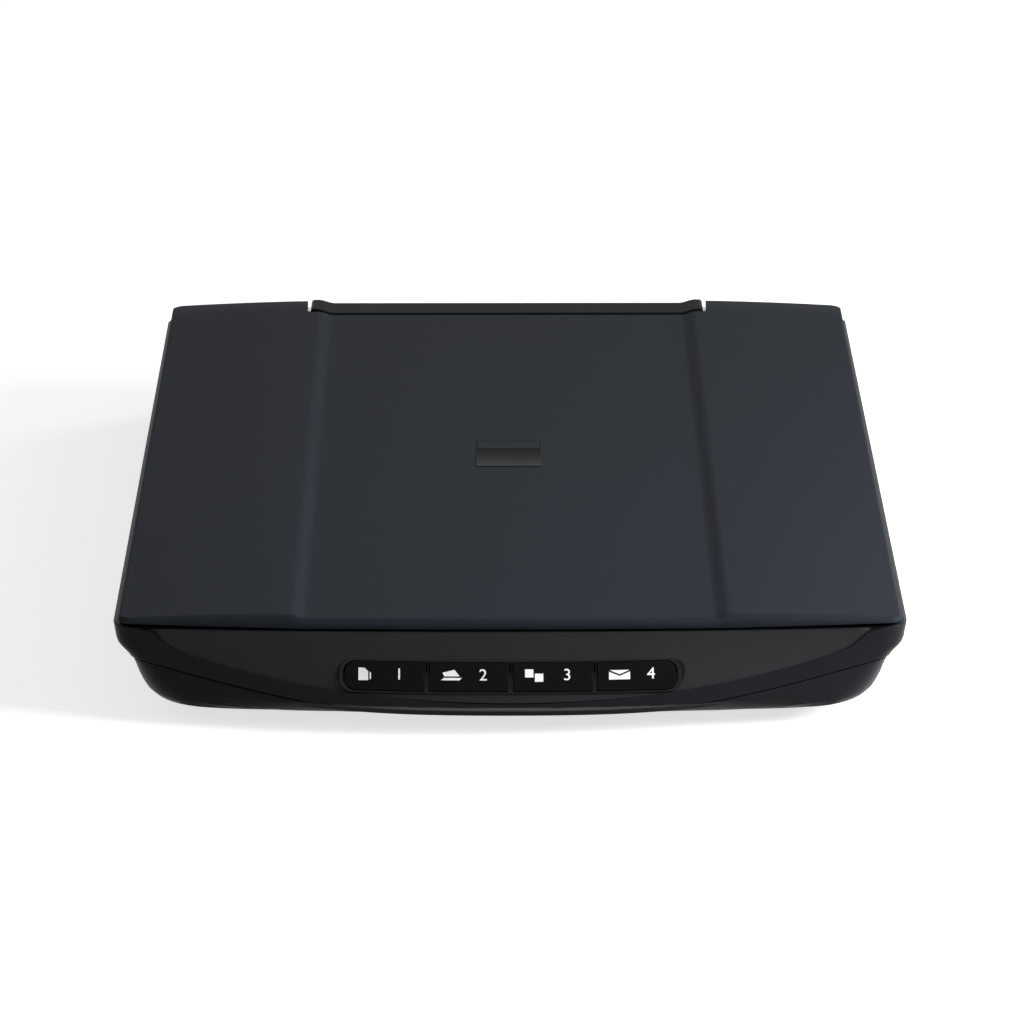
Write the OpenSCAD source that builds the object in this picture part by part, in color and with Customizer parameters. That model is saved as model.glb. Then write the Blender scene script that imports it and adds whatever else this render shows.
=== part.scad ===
// Slim flatbed scanner: two-part case, lifting lid hinge, belt-driven contact image sensor.
// X runs to the right, Y to the back (hinge side), Z up. The origin is on the table under
// the middle of the case.

/* [Overall] */
// Width of the case across its rim
body_w = 250; // [225:1:300]
// Depth from the nose of the case to its back edge
body_d = 365; // [350:1:440]
// Height from the table to the highest line of the lid
body_h = 39; // [38.5:0.5:48]

/* [Case] */
// Height of the rim that the lid closes on
rim_z = 31.5; // [31:0.1:36]
// Height of the rubber feet under the floor
foot_h = 2; // [1.5:0.1:4]
// Thickness of the case walls
wall = 2.2; // [1.6:0.1:3]
// Thickness of the floor
floor_t = 2; // [1.6:0.1:2.2]
// Thickness of the frame round the glass
top_wall = 1.8; // [1.4:0.1:2.4]
// How far each side curves in from the rim down to the seam
side_lean = 5; // [3:0.5:7]
// Height of the foremost line of the nose
nose_z = 11; // [10:0.5:12]
// How far the front of the rim stands behind the nose
front_lean = 14.2; // [13:0.1:16]
// Bow of the front edge of the rim in plan
front_bow = 3.2; // [2:0.2:6]
// Height of the seam between the two shells at the sides
seam_side_z = 20.5; // [19:0.5:22]
// Height of the seam at the middle of the front
seam_front_z = 8.2; // [7.5:0.1:10]
// Radius of the case corners in plan
corner_r = 7; // [6:0.5:9]

/* [Glass and scan] */
// Width of the clear platen
platen_w = 218; // [190:1:224]
// Length of the clear platen
platen_l = 299; // [260:1:300]
// Thickness of the platen glass
glass_t = 2.3; // [1.8:0.1:3]
// How far the glass reaches under the frame on each side
glass_lap = 4; // [3:0.5:5]
// Travel of the reading line from home to the far end
scan_l = 297; // [240:1:298]

/* [Lid] */
// Side margin between the rim and the lid
lid_inset = 1.7; // [1:0.1:3]
// Gap between the rim and the underside of the lid
lid_gap = 0.6; // [0.4:0.1:1.5]
// Thickness of the lid shell
lid_wall = 1.4; // [1.2:0.1:1.5]
// Height of the outer edge of the lid below its highest line
lid_fall = 2; // [1:0.2:2.2]
// How much lower the front of the lid is than its back
lid_slope = 2.3; // [1.6:0.1:2.4]
// Width of the sunk channel between its creases
channel_w = 139; // [120:1:160]
// Depth of the sunk channel
channel_depth = 1.3; // [0.8:0.1:1.5]
// Width of each sloped side of the channel
channel_slope = 6; // [4:0.5:10]
// Depth of the cut-out for the hinge bar, from the back of the lid
cutout_d = 17; // [15.5:0.5:20]
// Side and front gap between the hinge bar and the lid
bar_gap = 1.3; // [1:0.1:2]

/* [Hinge] */
// Distance of the hinge line from the back of the lid
hinge_back = 4; // [3.6:0.1:4.4]
// Diameter of the hinge pins
pin_d = 3; // [2.5:0.1:3.2]
// Length of each hinge pin
pin_l = 14; // [10:1:18]
// Width of each hinge post
post_w = 14; // [10:1:18]
// Thickness of each hinge post
post_t = 4; // [3:0.5:5]
// Distance of each hinge post from the middle
post_x = 42; // [38:1:46]

/* [Buttons] */
// Width of one button cap
button_w = 25.2; // [20:0.1:28]
// Height of one button cap along the slope
button_l = 9.4; // [8:0.1:10]
// Gap between neighbouring button caps
button_gap = 1.1; // [0.8:0.1:1.4]
// How far a button travels
button_travel = 0.8; // [0.4:0.1:0.9]
// Height of the middle of the button row
button_z = 19.2; // [18.8:0.1:19.8]

/* [Drive] */
// Diameter of the guide rod
rod_d = 5; // [4:0.5:6]
// Distance of the guide rod from the middle
rod_x = 60; // [57:1:62]
// Height of the guide rod
rod_z = 9.4; // [9.2:0.1:9.8]
// Distance of the drive pulleys from the middle
belt_x = 80; // [79:0.5:81]
// Radius of the belt pulleys under the belt
pulley_r = 5; // [4.5:0.1:5.5]
// Thickness of the belt
belt_t = 0.9; // [0.7:0.1:1.1]
// Width of the belt
belt_w = 3.6; // [3:0.2:4]
// Diameter of the motor can
motor_d = 18; // [16:0.5:18]
// Height of the motor can
motor_h = 15; // [10:0.5:16]
// Tooth module of the gears
gear_module = 0.5; // [0.4:0.05:0.5]
// Teeth of the motor pinion and of the small reduction gear
pinion_teeth = 12; // [11:1:12]
// Teeth of the large reduction gear
wheel_teeth = 40; // [36:1:40]
// Teeth of the pulley gear
pulley_teeth = 36; // [34:1:36]

/* [Sensor] */
// Depth of the sensor bar along the scan direction
cis_d = 14; // [12:0.5:15]
// Height of the sensor bar
cis_h = 8.8; // [7.5:0.1:9]
// Length of the sensor bar
cis_w = 222; // [214:1:224]

/* [Clearances] */
// Clearance of a running fit, on the radius
fit = 0.05; // [0.02:0.01:0.1]
// Clearance between pieces that move past each other
clear = 0.3; // [0.2:0.05:0.4]

/* [Hidden] */
$fn = 48;

half_w = body_w / 2;
half_d = body_d / 2;
bow_x = half_w - 13;
slice = 0.01;
seam_bow = 10;
// Height where the swelling sides of the case turn in
swell_z = rim_z - 6;
function front_at(z) = -half_d + front_lean * (z - nose_z) / (rim_z - nose_z);
// Levels of the outside of the case: height, half width, front, back and bow in plan
L = [[foot_h, half_w - side_lean - 14, -half_d + 24, half_d - 10.5, 12],
     [foot_h + 4, half_w - side_lean - 7, -half_d + 4.5, half_d - 4.5, 14],
     [nose_z, half_w - side_lean - 3, -half_d, half_d - 1.5, 15],
     [seam_side_z, half_w - side_lean, front_at(seam_side_z), half_d - 0.5, seam_bow],
     [swell_z, half_w - side_lean / 5, front_at(swell_z), half_d - 0.2,
      seam_bow + (front_bow - seam_bow) * (swell_z - seam_side_z) / (rim_z - seam_side_z)],
     [rim_z, half_w, front_at(rim_z), half_d, front_bow]];
seam_y = -half_d + 36;
inner_floor_z = foot_h + floor_t;
glass_top = rim_z - top_wall;
glass_bottom = glass_top - glass_t;
glass_w = platen_w + 2 * glass_lap;
glass_l = platen_l + 2 * glass_lap;
home_y = -scan_l / 2;

// Lid and hinge
lid_bottom = rim_z + lid_gap;
lid_half_w = half_w - lid_inset;
lid_front = -half_d + front_lean;
lid_back = half_d - 1;
lid_tilt = atan(lid_slope / (lid_back - lid_front));
lid_r = corner_r - 3;
crease_x = channel_w / 2;
cutout_y = lid_back - cutout_d;
cutout_x = crease_x + channel_slope / 2 + 1;
bar_half_w = cutout_x - bar_gap;
hinge_y = lid_back - hinge_back;
hinge_z = lid_bottom + 3.1;
pad_gap = clear;
liner_t = 0.8;
sheet_t = 0.6;
post_y = hinge_y - 4.5;
post_foot_z = inner_floor_z + 3;
sleeve_wall = 1.6;

// Drive train, all axes upright
gear_h = 1.8;
low_gear_z = inner_floor_z + 0.6;
high_gear_z = low_gear_z + gear_h + clear;
belt_z = high_gear_z + gear_h + 0.9;
pinion_r = gear_module * pinion_teeth / 2;
wheel_r = gear_module * wheel_teeth / 2;
pulley_gear_r = gear_module * pulley_teeth / 2;
shaft_r = 1;
axle_r = 1.2;
motor_x = -belt_x - 20;
motor_y = half_d - 14.5;
drive_y = half_d - 19.5;
idler_y = -half_d + 21.5;
first_reach = pinion_r + wheel_r;
second_reach = pinion_r + pulley_gear_r;
// The reduction gear stands where both gear pairs mesh, on the inner side
train_dx = -belt_x - motor_x;
train_dy = drive_y - motor_y;
train_len = sqrt(train_dx * train_dx + train_dy * train_dy);
train_a = (first_reach * first_reach - second_reach * second_reach + train_len * train_len)
  / (2 * train_len);
train_h = sqrt(first_reach * first_reach - train_a * train_a);
gear_x = motor_x + (train_a * train_dx + train_h * train_dy) / train_len;
gear_y = motor_y + (train_a * train_dy - train_h * train_dx) / train_len;
motor_plate_z = high_gear_z + gear_h + 0.7;
plate_t = 1;

// Carriage, drawn at home
tray_z = belt_z + belt_w + 0.9;
tray_t = 1.4;
tray_wall = 1.4;
cis_top = glass_bottom - 0.6;
cis_bottom = cis_top - cis_h;
bush_r = rod_d / 2 + 1;
bush_l = 4;
block_half_l = 11;
rail_x = 105;
rail_top = tray_z - 1.2;
rod_half_l = half_d - 15;

function bow(x, front, depth) = front + depth * pow(x / bow_x, 2);
function seam_z(x) = seam_front_z + (seam_side_z - seam_front_z) * pow(abs(x) / (half_w - side_lean), 2.8);
function lid_top(x) = abs(x) >= crease_x
  ? body_h - lid_fall * pow((abs(x) - crease_x) / (lid_half_w - crease_x), 1.6)
  : abs(x) > crease_x - channel_slope
    ? body_h - channel_depth * (1 - cos(180 * (crease_x - abs(x)) / channel_slope)) / 2
    : body_h - channel_depth;

// Outline of one level of the case, with its front bowed and its corners round
module plan(half, front, back, depth, radius) {
  offset(r = radius) offset(delta = -radius)
    polygon(concat([for (i = [-8:8]) [half * i / 8, bow(half * i / 8, front, depth)]],
      [[half, back], [-half, back]]));
}

// One level of the case as a thin slice, moved in by inset
module level(i, inset, z) {
  translate([0, 0, z])
    linear_extrude(slice)
      plan(L[i][1] - inset, L[i][2] + inset, L[i][3] - inset, L[i][4], corner_r - inset);
}

// Solid between two levels
module band(i, inset, top_z, bottom_z) {
  hull() {
    level(i, inset, bottom_z);
    level(i + 1, inset, top_z - slice);
  }
}

// Solid between the seam at the sides and a height under the rim
module slope_band(inset, top_z) {
  hull() {
    level(3, inset, L[3][0]);
    level(5, inset, top_z - slice);
  }
}

// Everything above the seam between the two shells
module above_seam() {
  translate([0, seam_y, 0]) rotate([90, 0, 0])
    linear_extrude(60)
      polygon(concat([for (i = [-12:12]) let (x = (half_w - side_lean) * i / 12) [x, seam_z(x)]],
        [[half_w + 5, seam_side_z], [half_w + 5, 60], [-half_w - 5, 60], [-half_w - 5, seam_side_z]]));
  translate([-half_w - 5, seam_y, seam_side_z]) cube([body_w + 10, body_d, 40]);
}

// Half ellipse that bounds the control panel, seen from the front
module crescent(inset) {
  reach = half_w - 12 - inset;
  drop = glass_top - 11.3 - inset;
  translate([0, seam_y + 6, 0]) rotate([90, 0, 0])
    linear_extrude(60)
      polygon([for (i = [0:36]) [-reach * cos(5 * i), glass_top - clear / 2 - drop * sin(5 * i)]]);
}

module post_places() {
  for (s = [-1, 1]) translate([s * post_x, post_y, 0]) children();
}

// Frame whose Z axis points out of the sloped panel at distance x from the middle
slope_run = front_lean / (rim_z - nose_z);
panel_tilt = atan(1 / slope_run);
function panel_bow(x) = let (t = (button_z - nose_z) / (seam_side_z - nose_z))
  (L[2][4] * (1 - t) + L[3][4] * t) * pow(x / bow_x, 2);
// The panel bends straight back, so a row along it rises in the sloped frame as it sinks
function panel_sag(x) = -sin(panel_tilt) * panel_bow(x);
function panel_rise(x) = cos(panel_tilt) * panel_bow(x);
module panel_frame() {
  translate([0, -half_d + slope_run * (button_z - nose_z), button_z]) rotate([panel_tilt, 0, 0]) children();
}
module on_panel(x) {
  panel_frame() translate([x, panel_rise(x), panel_sag(x)])
    rotate([0, atan(-2 * panel_sag(x) / x), 0]) rotate([0, 0, atan(2 * panel_rise(x) / x)]) children();
}
button_pitch = button_w + button_gap;
function button_x(i) = (i - 2.5) * button_pitch;
bezel_margin = 0.7;
bezel_end = 1.2;
bezel_t = 1.5;
board_depth = 9;
switch_h = 3.2;

module plate(size, z) {
  translate([-size[0] / 2, -size[1] / 2, z]) cube(size);
}

module tooth_ring(teeth, height) {
  root = gear_module * (teeth / 2 - 1.2);
  tip = gear_module * (teeth / 2 + 0.9);
  step = 360 / teeth;
  linear_extrude(height)
    polygon([for (i = [0:teeth - 1], k = [[root, -0.3], [tip, -0.13], [tip, 0.13], [root, 0.3]])
      [k[0] * cos(step * (i + k[1])), k[0] * sin(step * (i + k[1]))]]);
}

// Case ---------------------------------------------------------------

usb_x = 88;
usb_size = [7.8, 9, 4];
board_z = inner_floor_z + 2;
board_t = 1.2;
boss_r = 3.4;
screw_r = 1.3;
screw_places = [[-70, -half_d + 20.5], [70, -half_d + 20.5], [28, half_d - 11], [-28, half_d - 11]];
// The front screws stand higher, because the floor rises towards the nose
function screw_rise(p) = p[1] < 0 ? 2.4 : 0;
motor_posts = [[motor_x - 9, motor_y - 7], [motor_x + 9, motor_y + 6]];
slide_z = inner_floor_z + 2;
clip_z = rod_z - rod_d / 2 - 1.2;
socket_gap = 0.2;

module lower_case() {
  color("#1c1d1f") difference() {
    union() {
      difference() {
        union() {
          band(0, 0, L[1][0], L[0][0]);
          band(1, 0, L[2][0], L[1][0]);
          band(2, 0, L[3][0], L[2][0]);
        }
        difference() {
          union() {
            band(0, wall, L[1][0], L[0][0]);
            band(1, wall, L[2][0], L[1][0]);
            band(2, wall, L[3][0] + slice, L[2][0]);
          }
          translate([-half_w, -half_d, 0]) cube([body_w, body_d, inner_floor_z]);
        }
        above_seam();
      }
      // Rail that the far end of the carriage slides on
      translate([rail_x - 1, home_y - 8, inner_floor_z - 0.1])
        cube([2, scan_l + 16, rail_top - inner_floor_z + 0.1]);
      // Sleeves for the hinge posts
      post_places() plate([post_w + 2 * clear + 2 * sleeve_wall, post_t + 2 * clear + 2 * sleeve_wall,
        glass_top - 0.2 - inner_floor_z + 0.1], inner_floor_z - 0.1);
      // Posts for the motor plate
      for (p = motor_posts)
        translate([p[0], p[1], inner_floor_z - 0.1]) cylinder(r = 1.8, h = motor_plate_z - inner_floor_z + 0.1);
      // Bed of the belt tensioner, and beds of the rod clips
      translate([-belt_x - 3.5, idler_y + 2.5, inner_floor_z - 0.1]) cube([7, 12, slide_z - inner_floor_z + 0.1]);
      for (s = [-1, 1]) let (bed_z = s < 0 ? clip_z - 0.6 : inner_floor_z - 0.1)
        translate([-rod_x - 4.5, s * (rod_half_l - 1.6) - 1.2, bed_z]) cube([9, 2.4, clip_z - bed_z]);
      // Steps that tie the front clip bed and the front screw bosses to the flat of the floor
      translate([-rod_x - 4.5, -rod_half_l + 0.4, clip_z - 0.6]) cube([9, 6.8, 0.5]);
      translate([-rod_x - 4.5, -rod_half_l + 5.5, inner_floor_z - 0.1]) cube([9, 1.7, clip_z - inner_floor_z]);
      for (p = screw_places) if (p[1] < 0)
        translate([p[0] - 0.8, p[1] + boss_r - 0.5, inner_floor_z - 0.1]) cube([1.6, 6, 3]);
      // Lug that the tension spring pushes against
      translate([-belt_x - 2.2, idler_y + 24, inner_floor_z - 0.1]) cube([4.4, 2, belt_z + 3 - inner_floor_z]);
      // Posts for the main board
      for (x = [56, 98], y = [half_d - 66, half_d - 12])
        translate([x, y, inner_floor_z - 0.1]) cylinder(r = 2, h = board_z - inner_floor_z + 0.1);
      for (p = screw_places)
        translate([p[0], p[1], inner_floor_z - 0.1 + 0.4 * screw_rise(p)])
          cylinder(r = boss_r, h = 4 + 0.6 * screw_rise(p));
    }
    post_places() plate([post_w + 2 * clear, post_t + 2 * clear, 40], inner_floor_z);
    for (p = screw_places) {
      translate([p[0], p[1], 0]) cylinder(r = screw_r + fit, h = 14);
      translate([p[0], p[1], 0]) cylinder(r = 2.8, h = inner_floor_z + 0.6 + screw_rise(p));
    }
    translate([usb_x - usb_size[0] / 2 - socket_gap, half_d - 12, board_z + board_t - socket_gap])
      cube([usb_size[0] + 2 * socket_gap, 20, usb_size[2] + 2 * socket_gap]);
  }
}

module upper_case() {
  color("#1c1d1f") difference() {
    union() {
      difference() {
        union() {
          band(1, 0, L[2][0], L[1][0]);
          band(2, 0, L[3][0], L[2][0]);
          band(3, 0, L[4][0], L[3][0]);
          band(4, 0, L[5][0], L[4][0]);
        }
        band(1, wall, L[2][0], L[1][0]);
        band(2, wall, L[3][0] + slice, L[2][0]);
        slope_band(wall, glass_top);
        translate([-half_w, -half_d - 1, -10]) difference() {
          cube([body_w, body_d + 2, 60]);
          translate([half_w, half_d + 1, 10]) above_seam();
        }
        crescent(0);
      }
      for (p = screw_places)
        translate([p[0], p[1], inner_floor_z + 4 + screw_rise(p)])
          cylinder(r = boss_r - 0.4, h = glass_top - inner_floor_z - 3.9 - screw_rise(p));
    }
    for (p = screw_places)
      translate([p[0], p[1], 0]) cylinder(r = screw_r + fit, h = inner_floor_z + 13 + screw_rise(p));
    // Opening over the glass
    plate([platen_w, platen_l, 20], glass_top - 5);
    // Slots for the hinge posts
    post_places() plate([post_w + 2 * clear, post_t + 2 * clear, 20], glass_top - 5);
    // Room for the back edge of the lid as it swings down
    for (s = [-1, 1]) translate([s * (cutout_x + lid_half_w + 5) / 2, half_d - 5, 0])
      plate([lid_half_w + 5 - cutout_x + 2, 14, 20], rim_z - 1.6);
  }
}

module front_panel() {
  color("#232528") difference() {
    intersection() {
      crescent(clear / 2);
      difference() {
        union() {
          band(2, 0.5, L[3][0], L[2][0]);
          slope_band(0.5, rim_z);
        }
        band(2, wall + 0.3, L[3][0] + slice, L[2][0]);
        slope_band(wall + 0.3, rim_z + slice);
      }
    }
    panel_strip(strip_half + fit, strip_l + 2 * fit, -8, 8);
  }
}

// Bent strip that follows the panel, from depth low to depth high
module panel_strip(half, length, low, high) {
  n = 8;
  corners = [[-length / 2, low], [length / 2, low], [length / 2, high], [-length / 2, high]];
  panel_frame() polyhedron([for (i = [-n:n], c = corners) let (x = half * i / n)
      [x, panel_rise(x) + c[0], panel_sag(x) + c[1]]],
    concat([for (i = [0:2 * n - 1], k = [0:3]) let (m = (k + 1) % 4)
      [4 * i + k, 4 * i + 4 + k, 4 * i + 4 + m, 4 * i + m]],
      [[0, 1, 2, 3], [8 * n + 3, 8 * n + 2, 8 * n + 1, 8 * n]]));
}
strip_half = 2 * button_pitch + bezel_end;
strip_l = button_l + 2 * bezel_margin;

module button_bezel() {
  color("#141517") {
    difference() {
      panel_strip(strip_half, strip_l, -bezel_t, 0.2);
      for (i = [1:4]) on_panel(button_x(i))
        plate([button_w + 2 * clear - 0.2, button_l + 2 * clear - 0.2, 20], -10);
    }
    // Ears behind the panel that carry the button board
    for (s = [-1, 1]) panel_frame()
      translate([s * (strip_half + 1.9), panel_rise(strip_half), panel_sag(strip_half) - wall - 2.5]) {
        plate([5, button_l - 1, 1.2], 0);
        translate([-s * 2.25, 0, 0]) plate([0.7, button_l - 1, wall + 2.5 - bezel_t + 0.5], 0);
      }
  }
}

module button_board() {
  color("#1e5a38") {
    panel_frame() plate([4 * button_pitch + 8, button_l - 1.4, 1.2], -board_depth - 1.2);
    for (s = [-1, 1]) panel_frame() translate([s * (strip_half + 2), 0, -board_depth - 0.6])
      cylinder(r = 1.6, h = panel_sag(strip_half) - wall - 2.5 + board_depth + 0.6);
  }
}

module tact_switches() {
  color("#3a3b3d") for (i = [1:4]) panel_frame()
    translate([button_x(i), panel_rise(button_x(i)), -board_depth]) {
    plate([6, 6, switch_h], 0);
    cylinder(r = 1.6, h = switch_h + 0.5);
  }
}

module button_cap(i) {
  stem_end = -board_depth + switch_h + 0.5 + button_travel + 0.25 + panel_bow(button_x(i));
  color("#101113") on_panel(button_x(i)) {
    intersection() {
      plate([button_w, button_l, 2.6], -1.8);
      union() {
        plate([button_w - 1.2, button_l + 1, 2.6], -1.8);
        plate([button_w + 1, button_l - 1.2, 2.6], -1.8);
      }
    }
    translate([0, 0, stem_end]) cylinder(r = 1.5, h = -1.7 - stem_end);
  }
}
module button_1() { button_cap(1); }
module button_2() { button_cap(2); }
module button_3() { button_cap(3); }
module button_4() { button_cap(4); }

module rubber_feet() {
  color("#0d0d0e") for (x = [-1, 1], y = [-1, 1])
    translate([x * (half_w - 36), y * (half_d - 41), 0]) cylinder(r = 6, h = foot_h);
}

module case_screws() {
  color("#a8a8a4") for (p = screw_places) translate([p[0], p[1], screw_rise(p)]) {
    translate([0, 0, inner_floor_z - 1]) cylinder(r = 2.5, h = 1.6);
    translate([0, 0, inner_floor_z + 0.5]) cylinder(r = screw_r, h = 11);
  }
}

module platen_glass() {
  color("#9fb4bd", 0.4) plate([glass_w, glass_l, glass_t], glass_bottom);
}

module glass_tape() {
  color("#17181a") difference() {
    plate([glass_w + 2, glass_l + 2, 0.2], glass_bottom - 0.2);
    plate([platen_w + 5.4, platen_l + 5.4, 2], glass_bottom - 1);
  }
}

module shading_strip() {
  color("#f2f2ee") translate([0, -platen_l / 2 - 0.9, 0]) plate([platen_w - 4, 2.4, 0.25], glass_bottom - 0.25);
}

// Drive --------------------------------------------------------------

module guide_rod() {
  color("#c9ccd0") translate([-rod_x, rod_half_l, rod_z]) rotate([90, 0, 0])
    cylinder(r = rod_d / 2, h = 2 * rod_half_l);
}

module rod_clips() {
  color("#2a2b2d") for (s = [-1, 1]) translate([-rod_x, s * (rod_half_l - 1.6), 0]) difference() {
    translate([-4.5, -1.2, clip_z]) cube([9, 2.4, rod_z + rod_d / 2 + 1 - clip_z]);
    translate([0, 5, rod_z]) rotate([90, 0, 0]) cylinder(r = rod_d / 2 + fit, h = 10);
  }
}

module motor_can() {
  color("#b9bcc0") translate([motor_x, motor_y, motor_plate_z + plate_t]) {
    cylinder(r = motor_d / 2, h = motor_h - 1);
    cylinder(r = motor_d / 2 - 1, h = motor_h);
  }
}

module motor_plate() {
  color("#d3d5d8") difference() {
    translate([0, 0, motor_plate_z]) linear_extrude(plate_t) union() {
      translate([motor_x, motor_y]) circle(r = motor_d / 2 + 0.5);
      for (p = motor_posts) translate(p) circle(r = 3.2);
    }
    translate([motor_x, motor_y, 0]) cylinder(r = shaft_r + fit, h = 40);
  }
}

module motor_shaft() {
  color("#d8dadd") translate([motor_x, motor_y, low_gear_z - 0.3])
    cylinder(r = shaft_r, h = motor_plate_z + plate_t - low_gear_z + 0.3);
}

module motor_pinion() {
  color("#e8e6dc") translate([motor_x, motor_y, low_gear_z]) difference() {
    rotate([0, 0, pinion_phase]) tooth_ring(pinion_teeth, gear_h);
    translate([0, 0, -1]) cylinder(r = shaft_r + 0.001, h = 20);
  }
}

// Turns that set a tooth of one wheel in a gap of the next
dir_motor_gear = atan2(gear_y - motor_y, gear_x - motor_x);
dir_gear_drive = atan2(drive_y - gear_y, -belt_x - gear_x);
pinion_phase = dir_motor_gear;
wheel_phase = dir_motor_gear + 180 + 180 / wheel_teeth;
small_phase = dir_gear_drive;
drive_phase = dir_gear_drive + 180 + 180 / pulley_teeth;

module reduction_gear() {
  color("#efece2") translate([gear_x, gear_y, 0]) difference() {
    union() {
      translate([0, 0, low_gear_z]) rotate([0, 0, wheel_phase]) tooth_ring(wheel_teeth, gear_h);
      translate([0, 0, low_gear_z + gear_h - 0.01]) rotate([0, 0, small_phase])
        tooth_ring(pinion_teeth, gear_h + clear);
    }
    translate([0, 0, 0]) cylinder(r = axle_r + fit, h = 40);
  }
}

module drive_pulley() {
  color("#efece2") translate([-belt_x, drive_y, 0]) difference() {
    union() {
      translate([0, 0, high_gear_z]) rotate([0, 0, drive_phase]) tooth_ring(pulley_teeth, gear_h);
      translate([0, 0, high_gear_z + gear_h - 0.01]) cylinder(r = pulley_r - 0.05, h = belt_z + belt_w + 0.2
        - high_gear_z - gear_h);
    }
    cylinder(r = axle_r + fit, h = 40);
  }
}

module gear_axles() {
  color("#c9ccd0") {
    translate([gear_x, gear_y, inner_floor_z]) cylinder(r = axle_r, h = high_gear_z + gear_h - inner_floor_z);
    translate([-belt_x, drive_y, inner_floor_z]) cylinder(r = axle_r, h = belt_z + belt_w + 0.4 - inner_floor_z);
  }
}

module tension_slide() {
  color("#34363a") {
    translate([-belt_x - 3.5, idler_y - 3, slide_z]) cube([7, 16, 1.2]);
    translate([-belt_x - 3, idler_y + 10.4, slide_z]) cube([6, 1.4, belt_z + 2 - slide_z]);
    translate([-belt_x, idler_y, slide_z]) cylinder(r = 3, h = belt_z - clear - slide_z);
    translate([-belt_x, idler_y, slide_z]) cylinder(r = axle_r, h = belt_z + belt_w + 0.4 - slide_z);
  }
}

module idler_pulley() {
  color("#efece2") translate([-belt_x, idler_y, belt_z - 0.1]) difference() {
    cylinder(r = pulley_r - 0.05, h = belt_w + 0.2);
    translate([0, 0, -1]) cylinder(r = axle_r + fit, h = 20);
  }
}

// Round wire wound into a helix along Z
module coil(radius, wire, turns, height) {
  sides = 6;
  steps = 14;
  n = turns * steps;
  ring = [for (k = [0:n]) let (a = 360 * k / steps, z = wire + (height - 2 * wire) * k / n)
    for (j = [0:sides - 1]) let (b = 360 * j / sides, r = radius + wire * cos(b))
      [r * cos(a), r * sin(a), z + wire * sin(b)]];
  side_faces = [for (k = [0:n - 1], j = [0:sides - 1]) let (m = (j + 1) % sides)
    [k * sides + j, (k + 1) * sides + j, (k + 1) * sides + m, k * sides + m]];
  polyhedron(ring, concat(side_faces,
    [[for (j = [0:sides - 1]) j], [for (j = [sides - 1:-1:0]) n * sides + j]]));
}

module tension_spring() {
  spring_y = idler_y + 11.8;
  color("#c0c3c7") translate([-belt_x, spring_y + 0.02, belt_z + 0.1]) rotate([-90, 0, 0])
    coil(1.8, 0.3, 7, idler_y + 23.96 - spring_y);
}

module drive_belt() {
  color("#1a1a1b") translate([0, 0, belt_z]) difference() {
    linear_extrude(belt_w) union() {
      for (y = [idler_y, drive_y]) translate([-belt_x, y]) circle(r = pulley_r + belt_t);
      translate([-belt_x - pulley_r - belt_t, idler_y])
        square([2 * (pulley_r + belt_t), drive_y - idler_y]);
    }
    translate([0, 0, -1]) linear_extrude(belt_w + 2) union() {
      for (y = [idler_y, drive_y]) translate([-belt_x, y]) circle(r = pulley_r);
      translate([-belt_x - pulley_r, idler_y]) square([2 * pulley_r, drive_y - idler_y]);
    }
  }
}

module main_board() {
  color("#1e5a38") translate([52, half_d - 70, board_z]) cube([50, 62, board_t]);
}

module board_chips() {
  top = board_z + board_t;
  color("#26272a") {
    translate([64, half_d - 52, top]) cube([14, 14, 1.4]);
    translate([84, half_d - 50, top]) cube([8, 10, 1.2]);
    translate([66, half_d - 30, top]) cube([6, 5, 1.2]);
    translate([60, half_d - 68, top]) cube([20, 5, 2.6]);
    translate([96, half_d - 34, top]) cylinder(r = 2.5, h = 5);
    translate([58, half_d - 22, top]) cylinder(r = 2, h = 4.5);
  }
}

module usb_socket() {
  color("#b9bcc0") translate([usb_x - usb_size[0] / 2, half_d - 3.6 - usb_size[1], board_z + board_t]) difference() {
    cube(usb_size);
    translate([0.5, 1, 0.5]) cube([usb_size[0] - 1, usb_size[1], usb_size[2] - 1]);
  }
}

// Carriage, drawn at home ----------------------------------------------

module at_home() { translate([0, home_y, 0]) children(); }

module carriage_frame() {
  color("#2b2d31") at_home() difference() {
    union() {
      plate([cis_w + 2 * tray_wall + 0.6, cis_d + 2 * tray_wall + 0.6, tray_t], tray_z);
      for (s = [-1, 1]) translate([0, s * (cis_d / 2 + 0.3 + tray_wall / 2), 0])
        plate([cis_w + 2 * tray_wall + 0.6, tray_wall, cis_bottom + 3 - tray_z], tray_z);
      for (s = [-1, 1]) translate([s * (cis_w / 2 + 0.3 + tray_wall / 2), 0, 0])
        plate([tray_wall, cis_d, cis_bottom + 3 - tray_z], tray_z);
      // Block on the guide rod
      translate([-rod_x, 0, 0])
        plate([2 * bush_r + 3.6, 2 * block_half_l, tray_z + tray_t - inner_floor_z - 0.8], inner_floor_z + 0.8);
    }
    translate([-rod_x, block_half_l + 1, rod_z]) rotate([90, 0, 0])
      cylinder(r = bush_r, h = 2 * block_half_l + 2);
  }
}

module rod_bushes() {
  color("#b58a4a") at_home() for (s = [-1, 1])
    translate([-rod_x, s * (block_half_l - bush_l / 2) + bush_l / 2, rod_z]) rotate([90, 0, 0]) difference() {
      cylinder(r = bush_r, h = bush_l);
      translate([0, 0, -1]) cylinder(r = rod_d / 2 + fit, h = bush_l + 2);
    }
}

module belt_clamp() {
  color("#3a3c40") at_home() translate([-belt_x + pulley_r + belt_t / 2, 0, 0]) {
    for (s = [-1, 1]) translate([s * (belt_t / 2 + clear + 0.7), 0, 0])
      plate([1.4, 8, tray_z - belt_z + 0.2], belt_z - 0.2);
    plate([2 * (belt_t / 2 + clear + 1.4), 8, 0.6], tray_z - 0.6);
  }
}

module rail_shoe() {
  color("#e4e1d6") at_home() translate([rail_x, 0, 0]) plate([6, 10, tray_z - rail_top - 0.2], rail_top + 0.2);
}

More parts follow.
